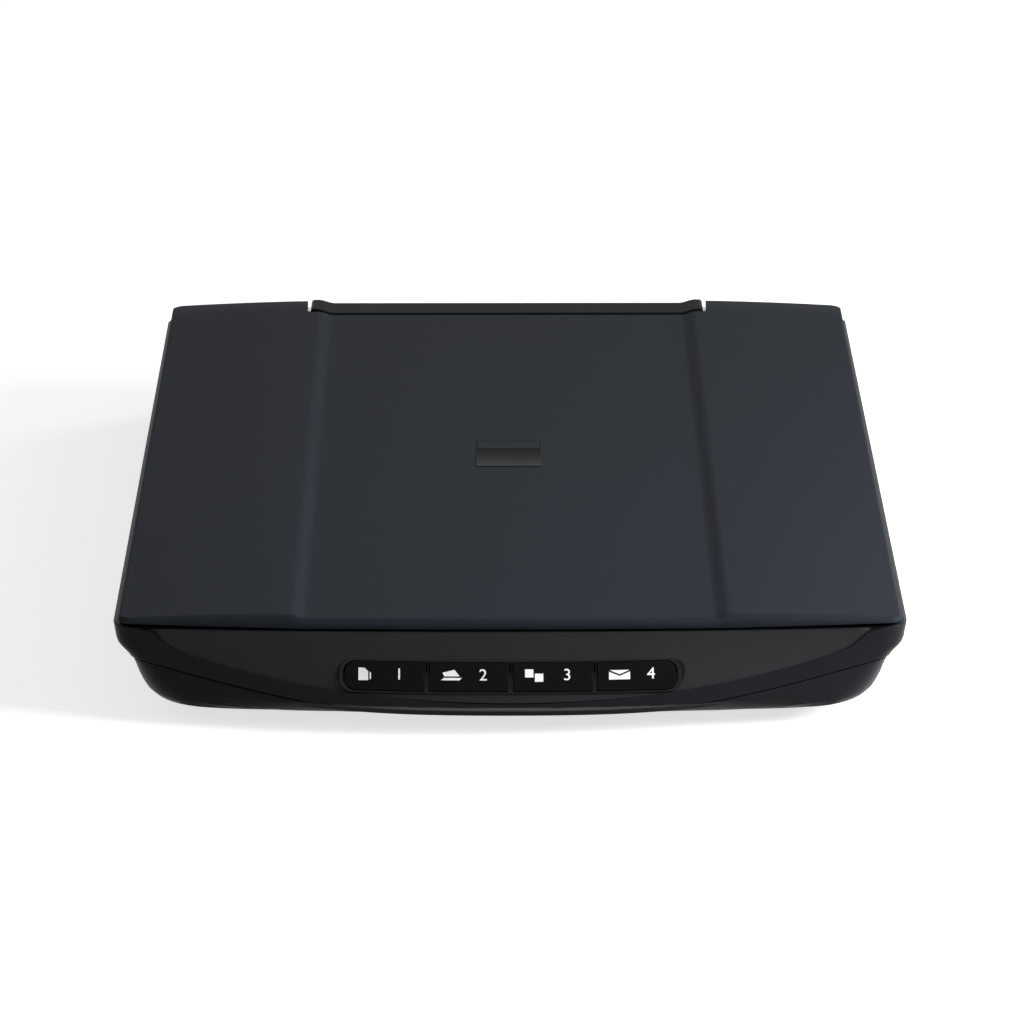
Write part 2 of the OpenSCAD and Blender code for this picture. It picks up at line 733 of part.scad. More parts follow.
module cis_housing() {
  color("#17181a") at_home() difference() {
    plate([cis_w, cis_d, cis_h], cis_bottom);
    plate([cis_w - 4, cis_d - 4, 2], cis_top - 1.1);
    plate([cis_w - 8, 3.2, 20], cis_bottom - 1);
    translate([0, 4, 0]) plate([cis_w - 8, 2.6, 4], cis_top - 4.6);
    plate([cis_w - 4, cis_d - 3, 2], cis_bottom - 0.8);
  }
}

module cis_window() {
  color("#a9c2cc", 0.4) at_home() plate([cis_w - 4.2, cis_d - 4.2, 1], cis_top - 1.1);
}

module lens_array() {
  color("#d9dde2") at_home() plate([cis_w - 8.2, 3, cis_h - 3.4], cis_bottom + 1.8);
}

module light_guide() {
  color("#e9f2f4", 0.7) at_home() translate([-(cis_w - 9) / 2, 4, cis_top - 2.9]) rotate([0, 90, 0])
    cylinder(r = 1.2, h = cis_w - 9);
}

module sensor_board() {
  color("#1e5a38") at_home() plate([cis_w - 4.4, cis_d - 3.4, 1], cis_bottom + 0.2);
}

module cis_springs() {
  color("#c0c3c7") at_home() for (s = [-1, 1]) translate([s * 88, 0, tray_z + tray_t])
    coil(2.4, 0.25, 3, cis_bottom + 0.2 - tray_z - tray_t);
}

module glide_pads() {
  color("#f0efe9") at_home() for (s = [-1, 1]) translate([s * (cis_w / 2 - 1), 0, 0])
    plate([2, 8, 0.3], cis_top);
}

// Lid and hinge ----------------------------------------------------------

module lid_profile(drop) {
  n = 30;
  polygon(concat([for (i = [-n:n]) let (x = (lid_half_w - drop) * i / n) [x, lid_top(x) - drop]],
    [[lid_half_w - drop, 0], [-lid_half_w + drop, 0]]));
}

// Frame that tips with the lid top about its highest line
module lid_frame() {
  translate([0, lid_back, body_h]) rotate([lid_tilt, 0, 0]) translate([0, -lid_back, -body_h]) children();
}

module lid_solid(drop, bottom_z) {
  intersection() {
    lid_frame() translate([0, half_d + 5, 0]) rotate([90, 0, 0])
      linear_extrude(body_d + 10) lid_profile(drop);
    translate([0, 0, bottom_z]) linear_extrude(body_h)
      plan(lid_half_w - drop, lid_front + drop, lid_back - drop, front_bow - 0.6, lid_r - drop);
  }
}

module lid_cover() {
  color("#33383f") difference() {
    lid_solid(0, lid_bottom);
    difference() {
      lid_solid(lid_wall, lid_bottom - 1);
      // Solid ends by the hinge bar that hold the pins, and the wall in front of the bar
      translate([0, cutout_y + 10, 0]) plate([2 * cutout_x + 2 * pin_l, 20 + 2 * lid_wall, 60], 0);
    }
    translate([0, cutout_y + 20, 0]) plate([2 * cutout_x, 40, 60], 0);
    translate([-half_w, hinge_y, hinge_z]) rotate([0, 90, 0])
      translate([0, 0, half_w - cutout_x - pin_l + 3]) cylinder(r = pin_d / 2 + 0.01, h = 2 * (cutout_x + pin_l - 3));
  }
}

module hinge_pins() {
  color("#c9ccd0") for (s = [-1, 1])
    translate([s > 0 ? cutout_x + pin_l - 3 : -(cutout_x + pin_l - 3) + pin_l, hinge_y, hinge_z])
      rotate([0, -90, 0]) cylinder(r = pin_d / 2, h = pin_l);
}

module lid_liner() {
  color("#26282b") translate([0, 0, lid_bottom + 0.3]) linear_extrude(liner_t)
    plan(lid_half_w - lid_wall - 0.2, lid_front + lid_wall + 0.2, cutout_y - lid_wall - 0.4,
      front_bow - 0.6, lid_r - lid_wall);
}

module pressure_foam() {
  color("#d6d6d2") plate([platen_w - 4, platen_l - 4, lid_bottom + 0.3 - glass_top - pad_gap - sheet_t],
    glass_top + pad_gap + sheet_t);
}

module pressure_sheet() {
  color("#f4f4f1") plate([platen_w - 3, platen_l - 3, sheet_t], glass_top + pad_gap);
}

module badge_plate() {
  color("#0f1012") lid_frame() plate([22, 28.7, 0.5], body_h - channel_depth);
}

module hinge_bar() {
  front = cutout_y + bar_gap - 0.5;
  color("#0c0d0e") difference() {
    intersection() {
      translate([0, half_d + 5, 0]) rotate([90, 0, 0]) linear_extrude(body_d + 10) lid_profile(0);
      translate([0, (front + lid_back) / 2, 0]) hull() {
        plate([2 * bar_half_w - 4, lid_back - front - 2.4, body_h - lid_bottom], lid_bottom);
        plate([2 * bar_half_w, lid_back - front, body_h - lid_bottom - 2.6], lid_bottom);
      }
    }
    // Hollow underside
    translate([0, (front + lid_back) / 2, 0])
      plate([2 * bar_half_w - 34, lid_back - front - 4, 3.4], lid_bottom - 0.5);
    translate([-half_w, hinge_y, hinge_z]) rotate([0, 90, 0])
      cylinder(r = pin_d / 2 + fit, h = half_w - bar_half_w + pin_l - 2);
    translate([half_w, hinge_y, hinge_z]) rotate([0, -90, 0])
      cylinder(r = pin_d / 2 + fit, h = half_w - bar_half_w + pin_l - 2);
  }
}

module hinge_posts() {
  color("#2b2c2e") post_places()
    plate([post_w, post_t, lid_bottom + 2.9 - post_foot_z], post_foot_z);
}

lower_case();
upper_case();
front_panel();
button_bezel();
button_board();
tact_switches();
button_1();
button_2();
button_3();
button_4();
platen_glass();
glass_tape();
shading_strip();
guide_rod();
rod_clips();
motor_can();
motor_plate();
motor_shaft();
motor_pinion();
reduction_gear();
gear_axles();
drive_pulley();
idler_pulley();
tension_slide();
tension_spring();
drive_belt();
main_board();
board_chips();
usb_socket();
rubber_feet();
case_screws();
hinge_bar();
hinge_posts();
hinge_pins();
lid_cover();
lid_liner();
pressure_foam();
pressure_sheet();
badge_plate();
carriage_frame();
belt_clamp();
rod_bushes();
cis_housing();
cis_window();
lens_array();
light_guide();
sensor_board();
cis_springs();
glide_pads();
rail_shoe();
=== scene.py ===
# Slim flatbed scanner, dressed round its construction frame.
# Lengths are in metres unless a name ends in _mm.
import math

import bmesh
import bpy
from mathutils import Matrix, Vector


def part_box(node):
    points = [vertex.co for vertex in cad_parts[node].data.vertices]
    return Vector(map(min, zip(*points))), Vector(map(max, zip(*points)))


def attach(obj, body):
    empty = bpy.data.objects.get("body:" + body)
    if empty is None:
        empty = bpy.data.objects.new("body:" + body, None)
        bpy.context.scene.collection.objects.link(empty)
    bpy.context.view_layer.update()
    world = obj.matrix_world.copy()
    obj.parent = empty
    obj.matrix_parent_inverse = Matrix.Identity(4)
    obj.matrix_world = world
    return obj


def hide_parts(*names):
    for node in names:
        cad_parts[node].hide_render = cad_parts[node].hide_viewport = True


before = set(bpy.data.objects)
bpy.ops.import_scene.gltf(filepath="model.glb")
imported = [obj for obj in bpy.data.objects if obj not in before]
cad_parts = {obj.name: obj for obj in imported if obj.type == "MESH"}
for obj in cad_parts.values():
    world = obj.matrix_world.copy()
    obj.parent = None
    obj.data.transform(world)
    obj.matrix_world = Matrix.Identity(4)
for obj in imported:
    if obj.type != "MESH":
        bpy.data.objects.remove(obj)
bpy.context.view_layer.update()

bl_info = {
    "name": "Flatbed Scanner",
    "version": (1, 0, 0),
    "blender": (4, 5, 0),
    "location": "View3D > Sidebar > Scanner",
    "description": "Dresses the frame of a slim flatbed scanner with its shells, panel and buttons",
    "category": "Object",
}

MM = 0.001
LID_LOW, LID_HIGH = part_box("lid_cover")
CASE_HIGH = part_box("upper_case")[1]
HULL_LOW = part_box("lower_case")[0]
BAR_LOW, BAR_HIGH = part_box("hinge_bar")
GLASS_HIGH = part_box("platen_glass")[1]

HALF_W = CASE_HIGH[0]
HALF_D = CASE_HIGH[1]
RIM_Z = CASE_HIGH[2]
FLOOR_Z = HULL_LOW[2]
LID_HALF = LID_HIGH[0]
LID_TOP = LID_HIGH[2]
LID_BOTTOM = LID_LOW[2]
LID_BACK = LID_HIGH[1]
LID_FRONT = LID_LOW[1]
BOW_X = HALF_W - 13 * MM
NOSE_Z = 11 * MM
SEAM_SIDE_Z = 20.5 * MM
SEAM_FRONT_Z = 8.2 * MM
SWELL_Z = RIM_Z - 6 * MM
FRONT_LEAN = 14.2 * MM
CASE_R = 7 * MM
CASE_R_GROWTH = 15 * MM


def lean(z):
    """Front edge of the case at the middle, on the straight slope over the nose."""
    return -HALF_D + FRONT_LEAN * (z - NOSE_Z) / (RIM_Z - NOSE_Z)


SEAM_BOW = 10 * MM
RIM_BOW = 3.2 * MM
SWELL_BOW = SEAM_BOW + (RIM_BOW - SEAM_BOW) * (SWELL_Z - SEAM_SIDE_Z) / (RIM_Z - SEAM_SIDE_Z)

# Outside of the case at rising heights: height, half width, front, back, bow of the front
LEVELS = [
    (FLOOR_Z, HALF_W - 19 * MM, -HALF_D + 24 * MM, HALF_D - 10.5 * MM, 12 * MM),
    (FLOOR_Z + 4 * MM, HALF_W - 12 * MM, -HALF_D + 8.8 * MM, HALF_D - 4.5 * MM, 7 * MM),
    (NOSE_Z, HALF_W - 8 * MM, -HALF_D, HALF_D - 1.5 * MM, 15 * MM),
    (SEAM_SIDE_Z, HALF_W - 5 * MM, lean(SEAM_SIDE_Z), HALF_D - 0.5 * MM, SEAM_BOW),
    (SWELL_Z, HALF_W - 1 * MM, lean(SWELL_Z), HALF_D - 0.2 * MM, SWELL_BOW),
    (RIM_Z, HALF_W, lean(RIM_Z), HALF_D, RIM_BOW),
]


# Shape functions ----------------------------------------------------------


def smooth_between(levels, z, column):
    """Value of one column at height z, by a monotone cubic through the levels."""
    z = min(max(z, levels[0][0]), levels[-1][0])
    i = max(k for k in range(len(levels) - 1) if levels[k][0] <= z or k == 0)
    slopes = [
        (levels[k + 1][column] - levels[k][column]) / (levels[k + 1][0] - levels[k][0])
        for k in range(len(levels) - 1)
    ]

    def tangent(k):
        if k == 0:
            return slopes[0]
        if k == len(levels) - 1:
            return slopes[-1]
        a, b = slopes[k - 1], slopes[k]
        return 0.0 if a * b <= 0 else 2 * a * b / (a + b)

    h = levels[i + 1][0] - levels[i][0]
    t = (z - levels[i][0]) / h
    a, b = levels[i][column], levels[i + 1][column]
    return (
        (2 * t**3 - 3 * t**2 + 1) * a
        + (t**3 - 2 * t**2 + t) * h * tangent(i)
        + (3 * t**2 - 2 * t**3) * b
        + (t**3 - t**2) * h * tangent(i + 1)
    )


def edge_outline(half, front, back, bow, radius, counts):
    """Closed outline as (x, y) points: bowed front, round corners, straight sides and back."""
    n_front, n_corner, n_side, n_back = counts
    inner = half - radius

    def front_at(x):
        return front + bow * (x / BOW_X) ** 2

    xs = [inner * k / (n_front / 2) for k in range(n_front // 2)]
    right = [(x, front_at(x)) for x in xs]
    for k in range(n_corner + 1):
        a = math.pi / 2 * k / n_corner
        x = inner + radius * math.sin(a)
        right.append((x, front_at(x) + radius * (1 - math.cos(a))))
    low, high = right[-1][1], back - radius
    right += [(half, low + (high - low) * k / n_side) for k in range(1, n_side)]
    for k in range(n_corner + 1):
        a = math.pi / 2 * k / n_corner
        right.append((inner + radius * math.cos(a), high + radius * math.sin(a)))
    right += [(inner * (1 - k / (n_back / 2)), back) for k in range(1, n_back // 2)]
    left = [(-x, y) for x, y in reversed(right[1:])]
    return right + [(0.0, back)] + left


CASE_COUNTS = (48, 10, 24, 16)


def straight_between(levels, z, column):
    """Value of one column at height z, on the straight line between its levels."""
    for low, high in zip(levels, levels[1:]):
        if z <= high[0]:
            break
    t = min(max((z - low[0]) / (high[0] - low[0]), 0.0), 1.0)
    return low[column] + (high[column] - low[column]) * t


def case_outline(z, inset=0.0):
    """Outline of the case at height z, its corners rounder towards the floor."""
    half, back = (smooth_between(LEVELS, z, c) for c in (1, 3))
    front, bow = front_and_bow(z)
    below_seam = min(1.0, max(0.0, (SEAM_SIDE_Z - z) / (SEAM_SIDE_Z - FLOOR_Z)))
    radius = CASE_R + CASE_R_GROWTH * below_seam - inset * 0.7
    return edge_outline(half - inset, front + inset, back - inset, bow, radius, CASE_COUNTS)


def front_and_bow(z):
    """Front line of the case at height z: a straight slope that rounds off at the nose."""
    if z < NOSE_Z:
        return smooth_between(LEVELS[:3], z, 2), smooth_between(LEVELS[:3], z, 4)
    return straight_between(LEVELS, z, 2), straight_between(LEVELS, z, 4)


SEAM_DIP_DEPTH = 60 * MM
SEAM_DIP_HALF = HALF_W - 5 * MM
SEAM_DIP_POWER = 2.8
SEAM_HALF_GAP = 0.2 * MM


def seam_z(x, y):
    """Height of the joint between the two shells, which dips to the middle of the front."""
    if y > -HALF_D + SEAM_DIP_DEPTH:
        return SEAM_SIDE_Z
    rise = min(1.0, abs(x) / SEAM_DIP_HALF) ** SEAM_DIP_POWER
    return SEAM_FRONT_Z + (SEAM_SIDE_Z - SEAM_FRONT_Z) * rise


PANEL_REACH = HALF_W - 11.8 * MM
PANEL_DROP = 19.2 * MM
PANEL_TOP = RIM_Z - 0.3 * MM
PANEL_ZONE = 26 * MM
PANEL_SLIT = 0.15 * MM


def crescent_z(x):
    """Lower edge of the control panel."""
    if abs(x) >= PANEL_REACH:
        return PANEL_TOP
    return PANEL_TOP - PANEL_DROP * math.sqrt(1 - (x / PANEL_REACH) ** 2)


def front_y(x, z):
    """The sloped front of the case at distance x from the middle and height z."""
    front, bow = front_and_bow(z)
    return front + bow * (x / BOW_X) ** 2


CREASE_X = 69.5 * MM
CHANNEL_SLOPE = 6 * MM
CHANNEL_DEPTH = 1.3 * MM
LID_FALL = 2 * MM
LID_SLOPE = 2.3 * MM


def lid_section(x):
    """Top of the lid at its back edge, at distance x from the middle."""
    x = abs(x)
    if x >= CREASE_X:
        return LID_TOP - LID_FALL * ((x - CREASE_X) / (LID_HALF - CREASE_X)) ** 1.6
    if x > CREASE_X - CHANNEL_SLOPE:
        t = (CREASE_X - x) / CHANNEL_SLOPE
        return LID_TOP - CHANNEL_DEPTH * (1 - math.cos(math.pi * t)) / 2
    return LID_TOP - CHANNEL_DEPTH


def lid_height(x, y):
    """Top of the lid, which runs down towards the front."""
    return lid_section(x) - LID_SLOPE * (LID_BACK - y) / (LID_BACK - LID_FRONT)


def stations(stops, counts):
    """Positions that run through the stops, with that many steps between each two."""
    out = [stops[0]]
    for a, b, n in zip(stops, stops[1:], counts):
        out += [a + (b - a) * k / n for k in range(1, n + 1)]
    return out


def between(a, b, t):
    """Point of the plane at share t of the way from a to b."""
    return a[0] + (b[0] - a[0]) * t, a[1] + (b[1] - a[1]) * t


def corner_cut(over, radius):
    """How far a round corner falls back, that distance past the start of its arc."""
    return radius - math.sqrt(max(0.0, radius**2 - over**2))


def edge_drop(gap, edge):
    """How far a rounded edge lies below the flat, at distance gap from the rim."""
    return corner_cut(max(0.0, edge - gap), edge)


# Mesh helpers -------------------------------------------------------------


def grid_piece(columns, rows, place):
    """bmesh grid with place(u, v) giving each vertex's position."""
    bm = bmesh.new()
    nx, ny = len(columns) - 1, len(rows) - 1
    bmesh.ops.create_grid(bm, x_segments=nx, y_segments=ny, size=1.0)
    for v in bm.verts:
        i, j = round((v.co.x + 1) / 2 * nx), round((v.co.y + 1) / 2 * ny)
        v.co = place(columns[i], rows[j])
    return bm


def verts_of(geom):
    """The vertices in the result of a bmesh operation."""
    return [g for g in geom if isinstance(g, bmesh.types.BMVert)]


def extrude_rim(bm):
    """Extrudes the open rim of the bmesh and gives the new vertices."""
    rim = [e for e in bm.edges if e.is_boundary]
    return verts_of(bmesh.ops.extrude_edge_only(bm, edges=rim)["geom"])


def ring_piece(rings):
    """bmesh skin through closed rings of equal length, each a list of positions."""
    bm = bmesh.new()
    bmesh.ops.create_circle(bm, segments=len(rings[0]), radius=1.0)
    bm.verts.ensure_lookup_table()
    for v, co in zip(bm.verts, rings[0]):
        v.co = co
    edges = list(bm.edges)
    order = {v: k for k, v in enumerate(bm.verts)}
    for ring in rings[1:]:
        made = bmesh.ops.extrude_edge_only(bm, edges=edges)["geom"]
        edges = [g for g in made if isinstance(g, bmesh.types.BMEdge) and g.is_boundary]
        fresh = {}
        for v in verts_of(made):
            source = next(e.other_vert(v) for e in v.link_edges if e.other_vert(v) in order)
            fresh[v] = order[source]
        for v, k in fresh.items():
            v.co = ring[k]
        order = fresh
    return bm, edges


def make_piece(name, bm, body, replaces=(), smooth_deg=40, material=None, recalc=True):
    """Turns the bmesh into an object that rides on a body."""
    if recalc:
        bmesh.ops.recalc_face_normals(bm, faces=bm.faces)
    for f in bm.faces:
        f.smooth = True
    for e in bm.edges:
        sharp = len(e.link_faces) == 2 and e.calc_face_angle(0.0) > math.radians(smooth_deg)
        e.smooth = not sharp
    mesh = bpy.data.meshes.new(name)
    bm.to_mesh(mesh)
    bm.free()
    obj = bpy.data.objects.new(name, mesh)
    bpy.context.scene.collection.objects.link(obj)
    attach(obj, body)
    if replaces:
        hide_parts(*replaces)
    if material:
        mesh.materials.append(material)
    return obj


def wall(obj, thickness):
    """Gives a skin its thickness, on the inside."""
    mod = obj.modifiers.new("wall", "SOLIDIFY")
    mod.thickness = thickness
    mod.offset = -1.0
    mod.use_even_offset = True


def round_edges(obj, width):
    """Takes the sharpness off edges of more than 35 degrees."""
    mod = obj.modifiers.new("round", "BEVEL")
    mod.width = width
    mod.segments = 2
    mod.limit_method = "ANGLE"
    mod.angle_limit = math.radians(35)
    mod.use_clamp_overlap = True


def block(bm, low, high):
    """Adds a closed box between two corners to the bmesh."""
    size = [h - l for l, h in zip(low, high)]
    middle = [(h + l) / 2 for l, h in zip(low, high)]
    matrix = Matrix.Translation(middle) @ Matrix.Diagonal((*size, 1.0))
    return bmesh.ops.create_cube(bm, size=1.0, matrix=matrix)["verts"]


# Materials ----------------------------------------------------------------


def finish_material(name, colour, roughness, grain_mm=0.0, grain_depth=0.0, specular=0.5, coat=0.0,
                    metallic=0.0, variation=0.08, patch_mm=60.0, stretch=(1, 1, 1)):
    """Moulded or turned surface: fine grain in the bump, slow patches in colour and roughness."""
    mat = bpy.data.materials.new(name)
    mat.use_nodes = True
    nodes, links = mat.node_tree.nodes, mat.node_tree.links
    bsdf = nodes["Principled BSDF"]
    bsdf.inputs["Metallic"].default_value = metallic
    bsdf.inputs["Specular IOR Level"].default_value = specular
    bsdf.inputs["Coat Weight"].default_value = coat
    bsdf.inputs["Coat Roughness"].default_value = 0.08
    coords = nodes.new("ShaderNodeTexCoord")
    mapping = nodes.new("ShaderNodeMapping")
    mapping.inputs["Scale"].default_value = stretch
    links.new(coords.outputs["Object"], mapping.inputs["Vector"])
    patches = nodes.new("ShaderNodeTexNoise")
    patches.inputs["Scale"].default_value = 1000.0 / patch_mm
    patches.inputs["Detail"].default_value = 3.0
    links.new(mapping.outputs["Vector"], patches.inputs["Vector"])
    ramp = nodes.new("ShaderNodeMapRange")
    ramp.inputs["To Min"].default_value = roughness * (1 - variation)
    ramp.inputs["To Max"].default_value = roughness * (1 + variation)
    links.new(patches.outputs["Fac"], ramp.inputs["Value"])
    links.new(ramp.outputs["Result"], bsdf.inputs["Roughness"])
    tint = nodes.new("ShaderNodeMix")
    tint.data_type = "RGBA"
    tint.inputs["A"].default_value = (*[c * (1 - variation) for c in colour], 1)
    tint.inputs["B"].default_value = (*[min(1.0, c * (1 + variation)) for c in colour], 1)
    links.new(patches.outputs["Fac"], tint.inputs["Factor"])
    links.new(tint.outputs["Result"], bsdf.inputs["Base Color"])
    if grain_mm:
        grain = nodes.new("ShaderNodeTexNoise")
        grain.inputs["Scale"].default_value = 1000.0 / grain_mm
        grain.inputs["Detail"].default_value = 2.0
        grain.inputs["Roughness"].default_value = 0.6
        links.new(mapping.outputs["Vector"], grain.inputs["Vector"])
        bump = nodes.new("ShaderNodeBump")
        bump.inputs["Strength"].default_value = 1.0
        bump.inputs["Distance"].default_value = grain_depth * MM
        links.new(grain.outputs["Fac"], bump.inputs["Height"])
        links.new(bump.outputs["Normal"], bsdf.inputs["Normal"])
    return mat


def clear_material(name, colour, roughness, ior):
    mat = finish_material(name, colour, roughness, variation=0.2, patch_mm=90)
    bsdf = mat.node_tree.nodes["Principled BSDF"]
    bsdf.inputs["Transmission Weight"].default_value = 1.0
    bsdf.inputs["IOR"].default_value = ior
    return mat


def object_materials(colours):
    """All finishes of the scanner by name."""
    lid, case, panel, gloss = (tuple(getattr(colours, k))[:3] for k in ("lid", "case", "panel", "gloss"))
    return {
        "lid_plastic": finish_material("lid_plastic", lid, 0.42, 0.55, 0.03, 0.005, variation=0.06),
        "case_plastic": finish_material("case_plastic", case, 0.36, 0.7, 0.025, 0.05, variation=0.07),
        "panel_plastic": finish_material("panel_plastic", panel, 0.6, 0.9, 0.14, 0.12, variation=0.1),
        "gloss_black": finish_material("gloss_black", gloss, 0.09, 3.0, 0.002, 0.04, variation=0.15),
        "trim_gloss": finish_material("trim_gloss", (0.006, 0.006, 0.007), 0.16, 3.0, 0.002, 0.16,
                                      variation=0.1),
        "bar_gloss": finish_material("bar_gloss", gloss, 0.14, 3.0, 0.002, 0.006, variation=0.15),
        "white_ink": finish_material("white_ink", (0.85, 0.86, 0.87), 0.5, 0.4, 0.01, 0.3),
        "rubber": finish_material("rubber", (0.012, 0.012, 0.013), 0.85, 0.5, 0.06, 0.2, variation=0.12),
        "steel": finish_material("steel", (0.6, 0.61, 0.62), 0.22, 0.2, 0.004, metallic=1.0,
                                 stretch=(8, 1, 8)),
        "zinc_steel": finish_material("zinc_steel", (0.5, 0.51, 0.53), 0.38, 0.8, 0.01, metallic=1.0,
                                      variation=0.25, patch_mm=6),
        "gear_plastic": finish_material("gear_plastic", (0.78, 0.76, 0.68), 0.38, 0.6, 0.01,
                                        variation=0.05),
        "inner_plastic": finish_material("inner_plastic", (0.02, 0.021, 0.024), 0.5, 0.6, 0.03, 0.4),
        "circuit_board": finish_material("circuit_board", (0.015, 0.11, 0.05), 0.3, 1.2, 0.03,
                                         variation=0.3, patch_mm=4),
        "chip_plastic": finish_material("chip_plastic", (0.02, 0.02, 0.022), 0.55, 0.4, 0.03),
        "bronze": finish_material("bronze", (0.42, 0.28, 0.13), 0.45, 0.3, 0.02, metallic=1.0,
                                  variation=0.2),
        "belt_rubber": finish_material("belt_rubber", (0.012, 0.012, 0.013), 0.8, 0.5, 0.05, 0.2),
        "foam": finish_material("foam", (0.55, 0.55, 0.53), 0.95, 0.8, 0.2, 0.1, variation=0.1),
        "white_sheet": finish_material("white_sheet", (0.82, 0.82, 0.8), 0.55, 0.8, 0.01, 0.3,
                                       variation=0.02),
        "glass": clear_material("glass", (0.93, 0.98, 0.96), 0.01, 1.5),
        "clear_plastic": clear_material("clear_plastic", (0.95, 0.97, 0.98), 0.08, 1.49),
    }


MATERIALS = {}


def surface(name):
    """The named finish, made on first use."""
    if not MATERIALS:
        MATERIALS.update(object_materials(bpy.context.scene.scanner_colours))
    return MATERIALS[name]


# Settings -----------------------------------------------------------------


class ScannerColours(bpy.types.PropertyGroup):
    lid: bpy.props.FloatVectorProperty(
        name="Lid", description="Colour of the lid", subtype="COLOR", size=4, min=0, max=1,
        default=(0.022, 0.026, 0.033, 1))
    case: bpy.props.FloatVectorProperty(
        name="Case", description="Colour of the two case shells", subtype="COLOR", size=4, min=0, max=1,
        default=(0.009, 0.009, 0.011, 1))
    panel: bpy.props.FloatVectorProperty(
        name="Panel", description="Colour of the textured control panel", subtype="COLOR", size=4,
        min=0, max=1, default=(0.011, 0.012, 0.013, 1))
    gloss: bpy.props.FloatVectorProperty(
        name="Gloss", description="Colour of the polished pieces", subtype="COLOR", size=4, min=0, max=1,
        default=(0.004, 0.004, 0.005, 1))


class ScannerSizes(bpy.types.PropertyGroup):
    lid_wall: bpy.props.FloatProperty(
        name="Lid wall", description="Thickness of the lid shell", default=1.4 * MM,
        min=1 * MM, max=1.6 * MM, unit="LENGTH")
    case_wall: bpy.props.FloatProperty(
        name="Case wall", description="Thickness of the case shells", default=2.0 * MM,
        min=1.2 * MM, max=2.2 * MM, unit="LENGTH")
    edge_round: bpy.props.FloatProperty(
        name="Edge rounding", description="Radius on the outer edges of the lid", default=0.9 * MM,
        min=0.4 * MM, max=1.4 * MM, unit="LENGTH")
    icon_height: bpy.props.FloatProperty(
        name="Icon height", description="Height of the marks on the buttons", default=4.4 * MM,
        min=2 * MM, max=6 * MM, unit="LENGTH")


# Pieces -------------------------------------------------------------------


class ScannerOperator:
    bl_options = {"REGISTER", "UNDO"}

    @property
    def sizes(self):
        return bpy.context.scene.scanner_sizes


# Cut-out of the lid for the hinge bar; its front edge takes the grid row nearest to CUT_SHARE
CUT_X = 73.5 * MM
CUT_Y = LID_BACK - 17 * MM
CUT_SHARE = 0.952

# Lower edge of the lid: it hangs lowest in the middle of the front and is raised everywhere else
SKIRT_DEPTH = 20 * MM
SKIRT_HALF = LID_HALF * 0.97
SKIRT_RISE = 0.9 * MM
SKIRT_STEEPNESS = 2.2


class SCANNER_OT_lid(ScannerOperator, bpy.types.Operator):
    """Lid shell with its sunk channel, bowed front and cut-out for the hinge bar"""

    bl_idname = "scanner.lid"
    bl_label = "Lid"

    def execute(self, context):
        radius = 4 * MM
        bow = 2.6 * MM
        edge = self.sizes.edge_round
        inner = LID_HALF - radius
        right = stations([0, CREASE_X - CHANNEL_SLOPE, CREASE_X, CUT_X, inner], [10, 10, 2, 10])
        right += [inner + radius * math.sin(math.pi / 2 * k / 9) for k in range(1, 9)] + [LID_HALF]
        columns = [-x for x in reversed(right[1:])] + right
        rows = [0, 0.0008, 0.002, 0.0035, 0.005] + [0.005 + 0.99 * k / 40 for k in range(1, 40)] + [1.0]

        def front_edge(x):
            return LID_FRONT + bow * (x / BOW_X) ** 2 + corner_cut(max(0.0, abs(x) - inner), radius)

        def back_edge(x):
            return LID_BACK - corner_cut(max(0.0, abs(x) - inner), radius)

        cut = min(rows, key=lambda row: abs(row - CUT_SHARE))

        def place(x, v):
            low, high = front_edge(x), back_edge(x)
            if v <= cut:
                y = low + (CUT_Y - low) * v / cut
            else:
                y = CUT_Y + (high - CUT_Y) * (v - cut) / (1 - cut)
            gap = min(y - low, LID_HALF - abs(x), high - y)
            return (x, y, lid_height(x, y) - edge_drop(gap, edge))

        bm = grid_piece(columns, rows, place)
        gone = [
            f for f in bm.faces
            if abs(f.calc_center_median().x) < CUT_X and f.calc_center_median().y > CUT_Y
        ]
        bmesh.ops.delete(bm, geom=gone, context="FACES")
        for v in extrude_rim(bm):
            at_front = v.co.y < LID_FRONT + SKIRT_DEPTH
            middle = max(0.0, 1 - abs(v.co.x) / SKIRT_HALF) if at_front else 0.0
            v.co.z = LID_BOTTOM + SKIRT_RISE * (1 - min(1.0, SKIRT_STEEPNESS * middle))
        bmesh.ops.remove_doubles(bm, verts=bm.verts, dist=1e-6)
        lid = make_piece("lid_shell", bm, "lid", ("lid_cover",), 30,
                         surface("lid_plastic"))
        wall(lid, self.sizes.lid_wall)
        return {"FINISHED"}


class SCANNER_OT_hinge_bar(ScannerOperator, bpy.types.Operator):
    """Polished bar that the lid turns on, with round front corners"""

    bl_idname = "scanner.hinge_bar"
    bl_label = "Hinge bar"

    def execute(self, context):
        half, front, back = BAR_HIGH[0], BAR_LOW[1], BAR_HIGH[1]
        radius = 5 * MM
        edge = 1.5 * MM
        inner = half - radius
        right = stations([0, CREASE_X - CHANNEL_SLOPE, inner], [8, 4])
        right += [inner + radius * math.sin(math.pi / 2 * k / 8) for k in range(1, 9)]
        columns = [-x for x in reversed(right[1:])] + right
        rows = [0, 0.02, 0.05, 0.09, 0.15] + [0.15 + 0.7 * k / 6 for k in range(1, 7)]
        rows += [0.91, 0.95, 0.98, 1.0]

        def place(x, v):
            low = front + corner_cut(max(0.0, abs(x) - inner), radius)
            y = low + (back - low) * v
            gap = min(y - low, back - y, half - abs(x))
            return (x, y, min(lid_section(x), BAR_HIGH[2]) - edge_drop(gap, edge))

        bm = grid_piece(columns, rows, place)
        for v in extrude_rim(bm):
            v.co.z = BAR_LOW[2]
        bar = make_piece("hinge_bar_cover", bm, "hinge_lift", ("hinge_bar",), 40,
                         surface("bar_gloss"))
        wall(bar, 1.4 * MM)
        return {"FINISHED"}


